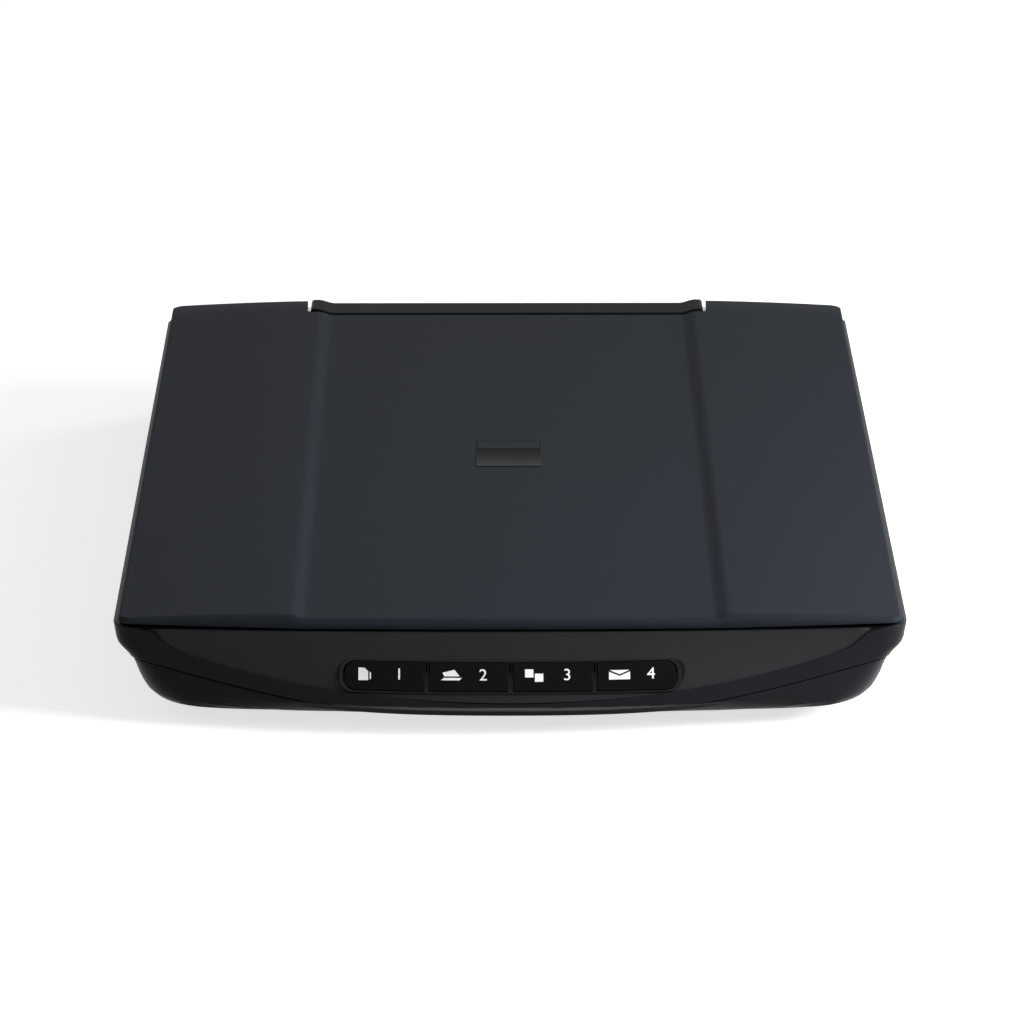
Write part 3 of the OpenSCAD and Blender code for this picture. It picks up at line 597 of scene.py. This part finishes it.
def case_ring(height_of, inset=0.0):
    """Ring round the case whose height follows height_of(x, y)."""
    base = case_outline(RIM_Z)
    ring = []
    for k, (x, y) in enumerate(base):
        z = height_of(x, y)
        ring.append(Vector((*case_outline(z, inset)[k], z)))
    return ring


OPENING_HALF_W = 109 * MM
OPENING_HALF_D = 149.5 * MM
# Behind this line the frame is lowered beside the hinge bar
NOTCH_Y = 169.5 * MM
NOTCH_DEPTH = 1.7 * MM
# Faces this near to the back belong to the back wall
BACK_ZONE = 12 * MM


class SCANNER_OT_case(ScannerOperator, bpy.types.Operator):
    """Upper shell with its rim, the frame round the glass, and the lower hull"""

    bl_idname = "scanner.case"
    bl_label = "Case"

    def execute(self, context):
        self.upper_band()
        self.glass_frame()
        self.lower_hull()
        return {"FINISHED"}

    def upper_band(self):
        def top(x, y):
            on_front = y < -HALF_D + PANEL_ZONE and abs(x) < PANEL_REACH
            return crescent_z(x) if on_front else RIM_Z

        def bottom(x, y):
            return seam_z(x, y) + SEAM_HALF_GAP

        rows = [0, 0.03, 0.08, 0.16, 0.26, 0.38, 0.5, 0.62, 0.74, 0.86, 0.95, 1.0]
        rings = []
        for t in rows:
            rings.append(case_ring(lambda x, y: top(x, y) + (bottom(x, y) - top(x, y)) * t))
        bm, _ = ring_piece(rings)
        band = make_piece("upper_shell", bm, "base", ("upper_case",), 35,
                          surface("case_plastic"))
        wall(band, self.sizes.case_wall)

    def glass_frame(self):
        """Flat frame from the rim to the glass, with a short lip down to it."""
        opening = edge_outline(OPENING_HALF_W, -OPENING_HALF_D, OPENING_HALF_D, 0.0, 2 * MM, CASE_COUNTS)
        outline = case_outline(RIM_Z, 0.9 * MM)
        top = RIM_Z - 0.05 * MM
        rings = [
            [Vector((x, y, RIM_Z - 1.6 * MM)) for x, y in outline],
            [Vector((x, y, top - 0.5 * MM)) for x, y in outline],
            [Vector((x, y, top)) for x, y in case_outline(RIM_Z, 1.4 * MM)],
        ]
        for t in (0.3, 0.7, 0.97):
            rings.append([Vector((*between(a, b, t), top)) for a, b in zip(outline, opening)])
        rings.append([Vector((x, y, top - 0.6 * MM)) for x, y in opening])
        rings.append([Vector((x, y, GLASS_HIGH[2] + 0.05 * MM)) for x, y in opening])
        for ring in rings[1:6]:
            for p in ring:
                if p.y > NOTCH_Y and abs(p.x) > CUT_X - 1 * MM:
                    p.z = min(p.z, RIM_Z - NOTCH_DEPTH)
        bm, _ = ring_piece(rings)
        make_piece("glass_frame", bm, "base", (), 35, surface("case_plastic"))

    def lower_hull(self):
        def seam(x, y):
            return seam_z(x, y) - SEAM_HALF_GAP

        rows = [0, 0.02, 0.1, 0.22, 0.36, 0.5, 0.62, 0.74, 0.84, 0.92, 1.0]
        rings = []
        for k, t in enumerate(rows):
            inset = 1.1 * MM if k == 0 else 0.5 * MM
            rings.append(case_ring(lambda x, y: seam(x, y) + (FLOOR_Z - seam(x, y)) * t, inset))
        floor = case_outline(FLOOR_Z, 0.5 * MM)
        for shrink in (0.97, 0.9):
            rings.append([Vector((x * shrink, y * shrink, FLOOR_Z)) for x, y in floor])
        bm, edges = ring_piece(rings)
        bmesh.ops.edgeloop_fill(bm, edges=edges)
        self.socket_opening(bm)
        hull = make_piece("lower_hull", bm, "base", ("lower_case",), 30,
                          surface("case_plastic"))
        wall(hull, self.sizes.case_wall)

    def socket_opening(self, bm):
        """Cuts the opening for the socket out of the back of the hull."""
        low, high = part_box("usb_socket")
        gap = 0.4 * MM
        left, right = low[0] - gap, high[0] + gap
        bottom, top = low[2] - gap, high[2] + gap
        for axis, place in ((0, left), (0, right), (2, bottom), (2, top)):
            near = [f for f in bm.faces if f.calc_center_median().y > HALF_D - BACK_ZONE]
            verts = list({v for f in near for v in f.verts})
            edges = list({e for f in near for e in f.edges})
            line = Vector((0, 0, 0))
            line[axis] = 1
            bmesh.ops.bisect_plane(bm, geom=verts + edges + near, plane_co=line * place, plane_no=line)
        gone = []
        for f in bm.faces:
            x, y, z = f.calc_center_median()
            if y > HALF_D - BACK_ZONE and left < x < right and bottom < z < top:
                gone.append(f)
        bmesh.ops.delete(bm, geom=gone, context="FACES")


RAIL_X = 105 * MM
RAIL_FRONT, RAIL_BACK = -152 * MM, 156 * MM
RIB_XS = (-30 * MM, 0, 70 * MM)
RIB_FRONT, RIB_BACK = -140 * MM, 105 * MM
CROSS_HALF = 50 * MM
CROSS_YS = [(-120 + 36 * k) * MM for k in range(7)]
RIB_HALF = 0.6 * MM
CLIP_Y = 165.9 * MM
CLIP_XS = (-64.5 * MM, -55.5 * MM)
SLEEVE_X = 42 * MM
SLEEVE_TOP = RIM_Z - 2.1 * MM
SLEEVE_INNER_HALF = 7.3 * MM
SLEEVE_OUTER_HALF = 8.9 * MM
SLEEVE_PLAY = 0.3 * MM
SLEEVE_REACH = 1.9 * MM


class SCANNER_OT_tray(ScannerOperator, bpy.types.Operator):
    """Mouldings inside the lower case: rail, stiffening ribs and hinge sleeves"""

    bl_idname = "scanner.tray"
    bl_label = "Inner mouldings"

    def execute(self, context):
        floor = FLOOR_Z + 2 * MM
        foot = floor - 0.2 * MM
        bm = bmesh.new()
        rail_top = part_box("rail_shoe")[0][2] - 0.2 * MM
        clip_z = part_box("rod_clips")[0][2]
        block(bm, (RAIL_X - 1 * MM, RAIL_FRONT, foot), (RAIL_X + 1 * MM, RAIL_BACK, rail_top))
        for x in RIB_XS:
            block(bm, (x - RIB_HALF, RIB_FRONT, foot), (x + RIB_HALF, RIB_BACK, floor + 0.8 * MM))
        for y in CROSS_YS:
            block(bm, (-CROSS_HALF, y - RIB_HALF, foot), (CROSS_HALF, y + RIB_HALF, floor + 0.7 * MM))
        for y, height in ((-CLIP_Y, 0.6 * MM), (CLIP_Y, 1.8 * MM)):
            block(bm, (CLIP_XS[0], y - 1.2 * MM, clip_z - height), (CLIP_XS[1], y + 1.2 * MM, clip_z))
        low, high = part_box("tension_slide")
        block(bm, (low[0], low[1] + 5.5 * MM, foot), (high[0], high[1], low[2]))
        tray = make_piece("case_mouldings", bm, "base", (), 30, surface("inner_plastic"))
        round_edges(tray, 0.25 * MM)

        self.sleeves(floor)
        return {"FINISHED"}

    def sleeves(self, floor):
        """Open sleeves that the hinge posts slide in."""
        low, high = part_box("hinge_posts")
        counts = (4, 4, 2, 4)
        front, back = low[1] - SLEEVE_PLAY, high[1] + SLEEVE_PLAY
        inner = edge_outline(SLEEVE_INNER_HALF, front, back, 0, 0.8 * MM, counts)
        front, back = low[1] - SLEEVE_REACH, high[1] + SLEEVE_REACH
        outer = edge_outline(SLEEVE_OUTER_HALF, front, back, 0, 1.6 * MM, counts)
        bm = bmesh.new()
        for middle in (-SLEEVE_X, SLEEVE_X):
            rings = []
            for loop, z in ((outer, floor), (outer, SLEEVE_TOP), (inner, SLEEVE_TOP), (inner, floor)):
                rings.append([Vector((x + middle, y, z)) for x, y in loop])
            part, _ = ring_piece(rings)
            joined = bpy.data.meshes.new("sleeve")
            part.to_mesh(joined)
            part.free()
            bm.from_mesh(joined)
            bpy.data.meshes.remove(joined)
        make_piece("hinge_sleeves", bm, "base", (), 30, surface("inner_plastic"))


BUTTON_BOXES = [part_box(f"button_{i}") for i in range(1, 5)]
BUTTON_XS = [(low[0] + high[0]) / 2 for low, high in BUTTON_BOXES]
BUTTON_W = 25.2 * MM
BUTTON_L = 9.4 * MM
BUTTON_Z = 19.2 * MM
PANEL_TILT = math.atan2(RIM_Z - NOSE_Z, FRONT_LEAN)
CAPS_HALF = BUTTON_XS[3] + BUTTON_W / 2
STRIP_LIP = 1.7 * MM
STRIP_HALF = CAPS_HALF + STRIP_LIP


def panel_bow(x):
    return straight_between(LEVELS, BUTTON_Z, 4) * (x / BOW_X) ** 2


PANEL_MATRIX = Matrix.Translation((0, lean(BUTTON_Z), BUTTON_Z)) @ Matrix.Rotation(PANEL_TILT, 4, "X")
PANEL_NORMAL = PANEL_MATRIX.to_3x3() @ Vector((0, 0, 1))


def on_panel(x, up, out):
    """Point at distance x from the middle, up along the slope and out from the bent strip."""
    bow = panel_bow(x)
    return PANEL_MATRIX @ Vector((x, up + math.cos(PANEL_TILT) * bow, out - math.sin(PANEL_TILT) * bow))


class SCANNER_OT_panel(ScannerOperator, bpy.types.Operator):
    """Textured crescent of the control panel, sunk a little behind the rim"""

    bl_idname = "scanner.panel"
    bl_label = "Control panel"

    def execute(self, context):
        sink = 0.45 * MM
        hole = [(x, BUTTON_Z + up * math.sin(PANEL_TILT))
                for x, up in strip_outline(STRIP_HALF - 0.3 * MM, BUTTON_L + 0.7 * MM, 4 * MM, 8, 60)]
        edge = [self.boundary(x, z) for x, z in hole]
        for s in (-1, 1):
            tip = max(range(len(edge)), key=lambda k: s * edge[k][0])
            edge[tip] = (s * (PANEL_REACH - PANEL_SLIT), PANEL_TOP)
        rings = []
        for t in (0, 0.04, 0.12, 0.25, 0.4, 0.55, 0.7, 0.85, 0.95, 1):
            spots = [between(a, b, t) for a, b in zip(hole, edge)]
            rings.append([Vector((x, front_y(x, z) + sink, z)) for x, z in spots])
        bm, _ = ring_piece(rings)
        panel = make_piece("control_panel", bm, "base", ("front_panel",), 40,
                           surface("panel_plastic"))
        wall(panel, 1.6 * MM)
        return {"FINISHED"}

    def boundary(self, x, z):
        """Point of the crescent's edge on the ray from the middle of the strip through (x, z)."""
        a, b = PANEL_REACH - PANEL_SLIT, PANEL_DROP - PANEL_SLIT
        dx, dz, drop = x, z - BUTTON_Z, BUTTON_Z - PANEL_TOP
        p = (dx / a) ** 2 + (dz / b) ** 2
        q = 2 * dz * drop / b**2
        r = (drop / b) ** 2 - 1
        s = (-q + math.sqrt(q * q - 4 * p * r)) / (2 * p)
        if BUTTON_Z + dz * s > PANEL_TOP:
            s = -drop / dz
        return dx * s, BUTTON_Z + dz * s


def strip_outline(half, length, radius, steps=6, runs=40):
    """Round-cornered outline in the plane of the panel, its long edges cut into short runs."""
    points = []
    for cx, cy, start in ((1, 1, 0), (-1, 1, 90), (-1, -1, 180), (1, -1, 270)):
        for k in range(steps + 1):
            a = math.radians(start + 90 * k / steps)
            points.append((cx * (half - radius) + radius * math.cos(a),
                           cy * (length / 2 - radius) + radius * math.sin(a)))
        if start in (0, 180):
            x, up = points[-1]
            points += [(x * (1 - 2 * k / runs), up) for k in range(1, runs)]
    return points


CAP_OUT = 0.75 * MM
CAP_SINK = -1.6 * MM
CAP_CORNER = 3.6 * MM
LEDGE_UP = -0.24 * BUTTON_L
LEDGE_DEPTH = 0.22 * MM
CROWN = 0.18 * MM
# Marks and numbers on a cap: shift up the slope, left edge of a mark, middle of a number
PRINT_UP = 0.35 * MM
MARK_LEFT = -8.6 * MM
NUMBER_MIDDLE = 4.6 * MM


def cap_surface(up):
    """Height of a button cap over the panel plane: crowned, with a ledge along its lower part."""
    crown = CROWN * (1 - (2 * up / BUTTON_L) ** 2)
    ledge = LEDGE_DEPTH / (1 + math.exp((up - LEDGE_UP) / (0.18 * MM)))
    return CAP_OUT + crown - ledge - 0.15 * MM


class SCANNER_OT_buttons(ScannerOperator, bpy.types.Operator):
    """Polished bezel with the four push buttons, each with a mark and a number"""

    bl_idname = "scanner.buttons"
    bl_label = "Buttons"

    def execute(self, context):
        self.bezel()
        for i in range(4):
            self.cap(i)
            self.mark(i)
            self.number(i)
        return {"FINISHED"}

    def bezel(self):
        """Strip with round ends and a raised lip, its middle open for the caps."""
        # Share of the lip's width and height over the panel, from the outer skirt to the inner one
        profile = [(1, -1.4), (1, 0.1), (0.93, 0.26), (0.8, 0.32)]
        profile += [(0.62, 0.26), (0.2, 0.12), (0.12, -1.9)]
        rings = []
        for share, out in profile:
            length = BUTTON_L + (0.1 + 1.2 * share) * MM
            loop = strip_outline(CAPS_HALF + STRIP_LIP * share, length, CAP_CORNER + 0.6 * share * MM)
            rings.append([on_panel(x, up, out * MM) for x, up in loop])
        bm, _ = ring_piece(rings)
        pitch = BUTTON_XS[3] - BUTTON_XS[2]
        reach = BUTTON_L / 2 + 0.3 * MM
        tilt = Matrix.Rotation(PANEL_TILT, 4, "X")
        for s in (-1, 0, 1):
            for side in (-0.42 * MM, 0.42 * MM):
                ridge = block(bm, (-0.12 * MM, -reach, 0), (0.12 * MM, reach, 2 * MM))
                turn = Matrix.Translation(on_panel(s * pitch + side, 0, -1.6 * MM)) @ tilt
                bmesh.ops.transform(bm, matrix=turn, verts=ridge)
        make_piece("bezel_strip", bm, "base", ("button_bezel",), 30, surface("trim_gloss"))

    def cap(self, i):
        """Cap of one button, its outer corners round where it ends the row."""
        middle = BUTTON_XS[i]
        half = BUTTON_W / 2 - 0.25 * MM
        small = 0.5 * MM
        radii = (CAP_CORNER if i == 0 else small, CAP_CORNER if i == 3 else small)
        edge = 0.35 * MM
        stops = [-half, -half + small, -half + CAP_CORNER, half - CAP_CORNER, half - small, half]
        xs = stations(stops, [3, 8, 12, 8, 3])
        rows = stations([-1, -0.96, -0.9, -0.62, -0.36, 0.9, 0.96, 1], [2, 2, 4, 8, 8, 2, 2])

        def place(x, v):
            radius = radii[0] if x < 0 else radii[1]
            reach = BUTTON_L / 2 - corner_cut(max(0.0, abs(x) - (half - radius)), radius)
            up = v * reach
            gap = min(reach - abs(up), half - abs(x))
            return on_panel(middle + x, up, cap_surface(up) - edge_drop(gap, edge))

        bm = grid_piece(xs, rows, place)
        bmesh.ops.translate(bm, verts=extrude_rim(bm), vec=PANEL_NORMAL * (CAP_SINK - CAP_OUT) * 0.85)
        bmesh.ops.remove_doubles(bm, verts=bm.verts, dist=2e-6)
        bmesh.ops.edgeloop_fill(bm, edges=[e for e in bm.edges if e.is_boundary])
        make_piece(f"button_cap_{i + 1}", bm, f"button_{i + 1}", (f"button_{i + 1}",), 30,
                   surface("gloss_black"))

    def mark(self, i):
        """Small picture at the left of a cap, from strokes in a unit square."""
        size = self.sizes.icon_height
        page = [(0.1, 0), (0.8, 0), (0.8, 0.72), (0.55, 1.0), (0.1, 1.0)]
        pictures = [
            [page, [(0.9, 0.1), (1.0, 0.1), (1.0, 0.6), (0.9, 0.7)]],
            [[(0, 0.1), (1.3, 0.1), (1.5, 0.3), (0.2, 0.3)],
             [(0.25, 0.42), (1.35, 0.42), (0.95, 0.95), (0.1, 0.7)]],
            [[(0, 0.35), (0.6, 0.35), (0.6, 1.0), (0, 1.0)],
             [(0.7, 0), (1.3, 0), (1.3, 0.65), (0.7, 0.65)]],
            [[(0, 0.1), (1.5, 0.1), (1.5, 0.72), (0.75, 0.38), (0, 0.72)],
             [(0.05, 0.85), (0.75, 0.52), (1.45, 0.85)]],
        ]
        bm = bmesh.new()
        left = BUTTON_XS[i] + MARK_LEFT
        for loop in pictures[i]:
            corners = []
            for u, w in loop:
                x, up = left + u * size, (w - 0.5) * size * 0.92 + PRINT_UP
                corners.append(bm.verts.new(on_panel(x, up, cap_surface(up) + 0.02 * MM)))
            face = bm.faces.new(corners)
            lifted = verts_of(bmesh.ops.extrude_face_region(bm, geom=[face])["geom"])
            bmesh.ops.translate(bm, verts=lifted, vec=PANEL_NORMAL * 0.04 * MM)
        make_piece(f"mark_{i + 1}", bm, f"button_{i + 1}", (), 30, surface("white_ink"))

    def number(self, i):
        """Plain number at the right of a cap."""
        text = bpy.data.curves.new(f"number_{i + 1}", "FONT")
        text.body = str(i + 1)
        text.size = self.sizes.icon_height * 1.2
        text.extrude = 0.02 * MM
        text.align_x = "CENTER"
        text.align_y = "CENTER"
        holder = bpy.data.objects.new("number_source", text)
        bpy.context.scene.collection.objects.link(holder)
        depsgraph = bpy.context.evaluated_depsgraph_get()
        mesh = bpy.data.meshes.new_from_object(holder.evaluated_get(depsgraph))
        bpy.data.objects.remove(holder)
        bm = bmesh.new()
        bm.from_mesh(mesh)
        bpy.data.meshes.remove(mesh)
        bmesh.ops.remove_doubles(bm, verts=bm.verts, dist=1e-7)
        centre = BUTTON_XS[i] + NUMBER_MIDDLE
        for v in bm.verts:
            x, up = centre + v.co.x, v.co.y + PRINT_UP
            v.co = on_panel(x, up, cap_surface(up) + 0.03 * MM + v.co.z)
        make_piece(f"number_{i + 1}", bm, f"button_{i + 1}", (), 30, surface("white_ink"),
                   recalc=False)


class SCANNER_OT_badge(ScannerOperator, bpy.types.Operator):
    """Bare polished plate let into the middle of the lid"""

    bl_idname = "scanner.badge"
    bl_label = "Bare badge"

    def execute(self, context):
        low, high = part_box("badge_plate")
        bm = bmesh.new()
        block(bm, (low[0], low[1], low[2] - 0.4 * MM), (high[0], high[1], low[2] + 0.22 * MM))
        top = [f for f in bm.faces if f.normal.z > 0.9 or f.calc_center_median().z > low[2] + 0.2 * MM]
        bmesh.ops.inset_region(bm, faces=top, thickness=0.7 * MM)
        bmesh.ops.translate(bm, verts=list({v for f in top for v in f.verts}), vec=(0, 0, -0.12 * MM))
        badge = make_piece("bare_badge", bm, "lid", ("badge_plate",), 30,
                           surface("bar_gloss"))
        round_edges(badge, 0.1 * MM)
        return {"FINISHED"}


NODE_FINISH = {
    "tact_switches": "chip_plastic", "button_board": "circuit_board", "platen_glass": "glass",
    "glass_tape": "inner_plastic", "shading_strip": "white_sheet", "guide_rod": "steel",
    "rod_clips": "inner_plastic", "motor_can": "zinc_steel", "motor_plate": "zinc_steel",
    "motor_shaft": "steel", "motor_pinion": "gear_plastic", "reduction_gear": "gear_plastic",
    "gear_axles": "steel", "drive_pulley": "gear_plastic", "idler_pulley": "gear_plastic",
    "tension_slide": "inner_plastic", "tension_spring": "steel", "drive_belt": "belt_rubber",
    "main_board": "circuit_board", "board_chips": "chip_plastic", "usb_socket": "zinc_steel",
    "rubber_feet": "rubber", "case_screws": "zinc_steel", "hinge_posts": "inner_plastic",
    "hinge_pins": "steel", "lid_liner": "case_plastic", "pressure_foam": "foam",
    "pressure_sheet": "white_sheet", "carriage_frame": "inner_plastic", "belt_clamp": "inner_plastic",
    "rod_bushes": "bronze", "cis_housing": "inner_plastic", "cis_window": "glass",
    "lens_array": "clear_plastic", "light_guide": "clear_plastic", "sensor_board": "circuit_board",
    "cis_springs": "steel", "glide_pads": "gear_plastic", "rail_shoe": "gear_plastic",
}


class SCANNER_OT_finishes(ScannerOperator, bpy.types.Operator):
    """Finishes of the pieces that keep their construction shape"""

    bl_idname = "scanner.finishes"
    bl_label = "Inner finishes"

    def execute(self, context):
        for node, name in NODE_FINISH.items():
            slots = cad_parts[node].material_slots
            if not len(slots):
                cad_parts[node].data.materials.append(surface(name))
            for slot in slots:
                slot.material = surface(name)
        return {"FINISHED"}


# Name, place, size and power of each lamp
LAMPS = (
    ("key", (1.3, -0.2, 0.62), 0.5, 8.0),
    ("side", (0.5, -0.3, 0.26), 0.22, 4.8),
    ("fill", (-1.2, -1.4, 1.3), 1.2, 2.0),
    ("back", (0.9, 1.1, 0.6), 0.5, 5.0),
)
CAMERA_LENS_MM = 205.3
CAMERA_SENSOR_MM = 36
CAMERA_PLACE = (-0.00642, -1.89498, 0.63851)
CAMERA_AIM = (0.00381, 0.94997, -0.31233)


class SCANNER_OT_stage(ScannerOperator, bpy.types.Operator):
    """Pale floor, soft studio lamps and the camera"""

    bl_idname = "scanner.stage"
    bl_label = "Stage"

    def execute(self, context):
        scene = bpy.context.scene
        scene.view_settings.view_transform = "Standard"
        self.world(scene)
        self.floor(scene)
        for lamp in LAMPS:
            self.lamp(*lamp)
        camera = bpy.data.cameras.new("camera")
        camera.lens = CAMERA_LENS_MM
        camera.sensor_width = CAMERA_SENSOR_MM
        camera.clip_end = 50
        eye = bpy.data.objects.new("camera", camera)
        eye.location = CAMERA_PLACE
        eye.rotation_euler = Vector(CAMERA_AIM).to_track_quat("-Z", "Y").to_euler()
        scene.collection.objects.link(eye)
        scene.camera = eye
        return {"FINISHED"}

    def split_rays(self, tree, seen_shader, plain_shader, socket):
        """Shows one shader to camera, glossy and transmission rays, and the plain one to the rest."""
        path = tree.nodes.new("ShaderNodeLightPath")
        either = tree.nodes.new("ShaderNodeMath")
        either.operation = "MAXIMUM"
        seen = tree.nodes.new("ShaderNodeMath")
        seen.operation = "MAXIMUM"
        tree.links.new(path.outputs["Is Camera Ray"], either.inputs[0])
        tree.links.new(path.outputs["Is Glossy Ray"], either.inputs[1])
        tree.links.new(either.outputs[0], seen.inputs[0])
        tree.links.new(path.outputs["Is Transmission Ray"], seen.inputs[1])
        mix = tree.nodes.new("ShaderNodeMixShader")
        tree.links.new(seen.outputs[0], mix.inputs[0])
        tree.links.new(plain_shader, mix.inputs[1])
        tree.links.new(seen_shader, mix.inputs[2])
        tree.links.new(mix.outputs[0], socket)

    def world(self, scene):
        scene.world = bpy.data.worlds.new("studio")
        scene.world.use_nodes = True
        tree = scene.world.node_tree
        plain = tree.nodes["Background"]
        plain.inputs["Color"].default_value = (1, 1, 1, 1)
        plain.inputs["Strength"].default_value = 0.18
        white = tree.nodes.new("ShaderNodeBackground")
        white.inputs["Color"].default_value = (1, 1, 1, 1)
        white.inputs["Strength"].default_value = 1.0
        socket = tree.nodes["World Output"].inputs["Surface"]
        self.split_rays(tree, white.outputs[0], plain.outputs[0], socket)

    def floor(self, scene):
        bm = bmesh.new()
        bmesh.ops.create_grid(bm, x_segments=2, y_segments=2, size=6.0)
        mesh = bpy.data.meshes.new("floor")
        bm.to_mesh(mesh)
        bm.free()
        floor = bpy.data.objects.new("floor", mesh)
        scene.collection.objects.link(floor)
        mat = bpy.data.materials.new("floor_white")
        mat.use_nodes = True
        tree = mat.node_tree
        bsdf = tree.nodes["Principled BSDF"]
        bsdf.inputs["Base Color"].default_value = (0.8, 0.8, 0.8, 1)
        bsdf.inputs["Roughness"].default_value = 0.9
        bsdf.inputs["Specular IOR Level"].default_value = 0.0
        glow = tree.nodes.new("ShaderNodeEmission")
        glow.inputs["Strength"].default_value = 0.7
        both = tree.nodes.new("ShaderNodeAddShader")
        tree.links.new(bsdf.outputs[0], both.inputs[0])
        tree.links.new(glow.outputs[0], both.inputs[1])
        socket = tree.nodes["Material Output"].inputs["Surface"]
        self.split_rays(tree, both.outputs[0], bsdf.outputs[0], socket)
        mesh.materials.append(mat)

    def lamp(self, name, place, size, power):
        light = bpy.data.lights.new(name, "AREA")
        light.energy = power
        light.size = size
        lamp = bpy.data.objects.new(name, light)
        lamp.location = place
        lamp.rotation_euler = (-Vector(place)).to_track_quat("-Z", "Y").to_euler()
        bpy.context.scene.collection.objects.link(lamp)


class SCANNER_PT_panel(bpy.types.Panel):
    """Sidebar list of the scanner's pieces"""

    bl_idname = "SCANNER_PT_panel"
    bl_label = "Scanner"
    bl_space_type = "VIEW_3D"
    bl_region_type = "UI"
    bl_category = "Scanner"

    def draw(self, context):
        for group in (context.scene.scanner_sizes, context.scene.scanner_colours):
            for name in group.bl_rna.properties.keys():
                if name not in ("rna_type", "name"):
                    self.layout.prop(group, name)
        for operator in OPERATORS:
            self.layout.operator(operator.bl_idname)


OPERATORS = (
    SCANNER_OT_stage,
    SCANNER_OT_lid,
    SCANNER_OT_hinge_bar,
    SCANNER_OT_case,
    SCANNER_OT_tray,
    SCANNER_OT_panel,
    SCANNER_OT_buttons,
    SCANNER_OT_badge,
    SCANNER_OT_finishes,
)


def register():
    for cls in (ScannerColours, ScannerSizes, *OPERATORS, SCANNER_PT_panel):
        bpy.utils.register_class(cls)
    bpy.types.Scene.scanner_colours = bpy.props.PointerProperty(type=ScannerColours)
    bpy.types.Scene.scanner_sizes = bpy.props.PointerProperty(type=ScannerSizes)


def unregister():
    del bpy.types.Scene.scanner_sizes
    del bpy.types.Scene.scanner_colours
    for cls in reversed((ScannerColours, ScannerSizes, *OPERATORS, SCANNER_PT_panel)):
        bpy.utils.unregister_class(cls)


def main():
    register()
    for operator in OPERATORS:
        group, name = operator.bl_idname.split(".")
        getattr(getattr(bpy.ops, group), name)()


if __name__ == "__main__":
    main()
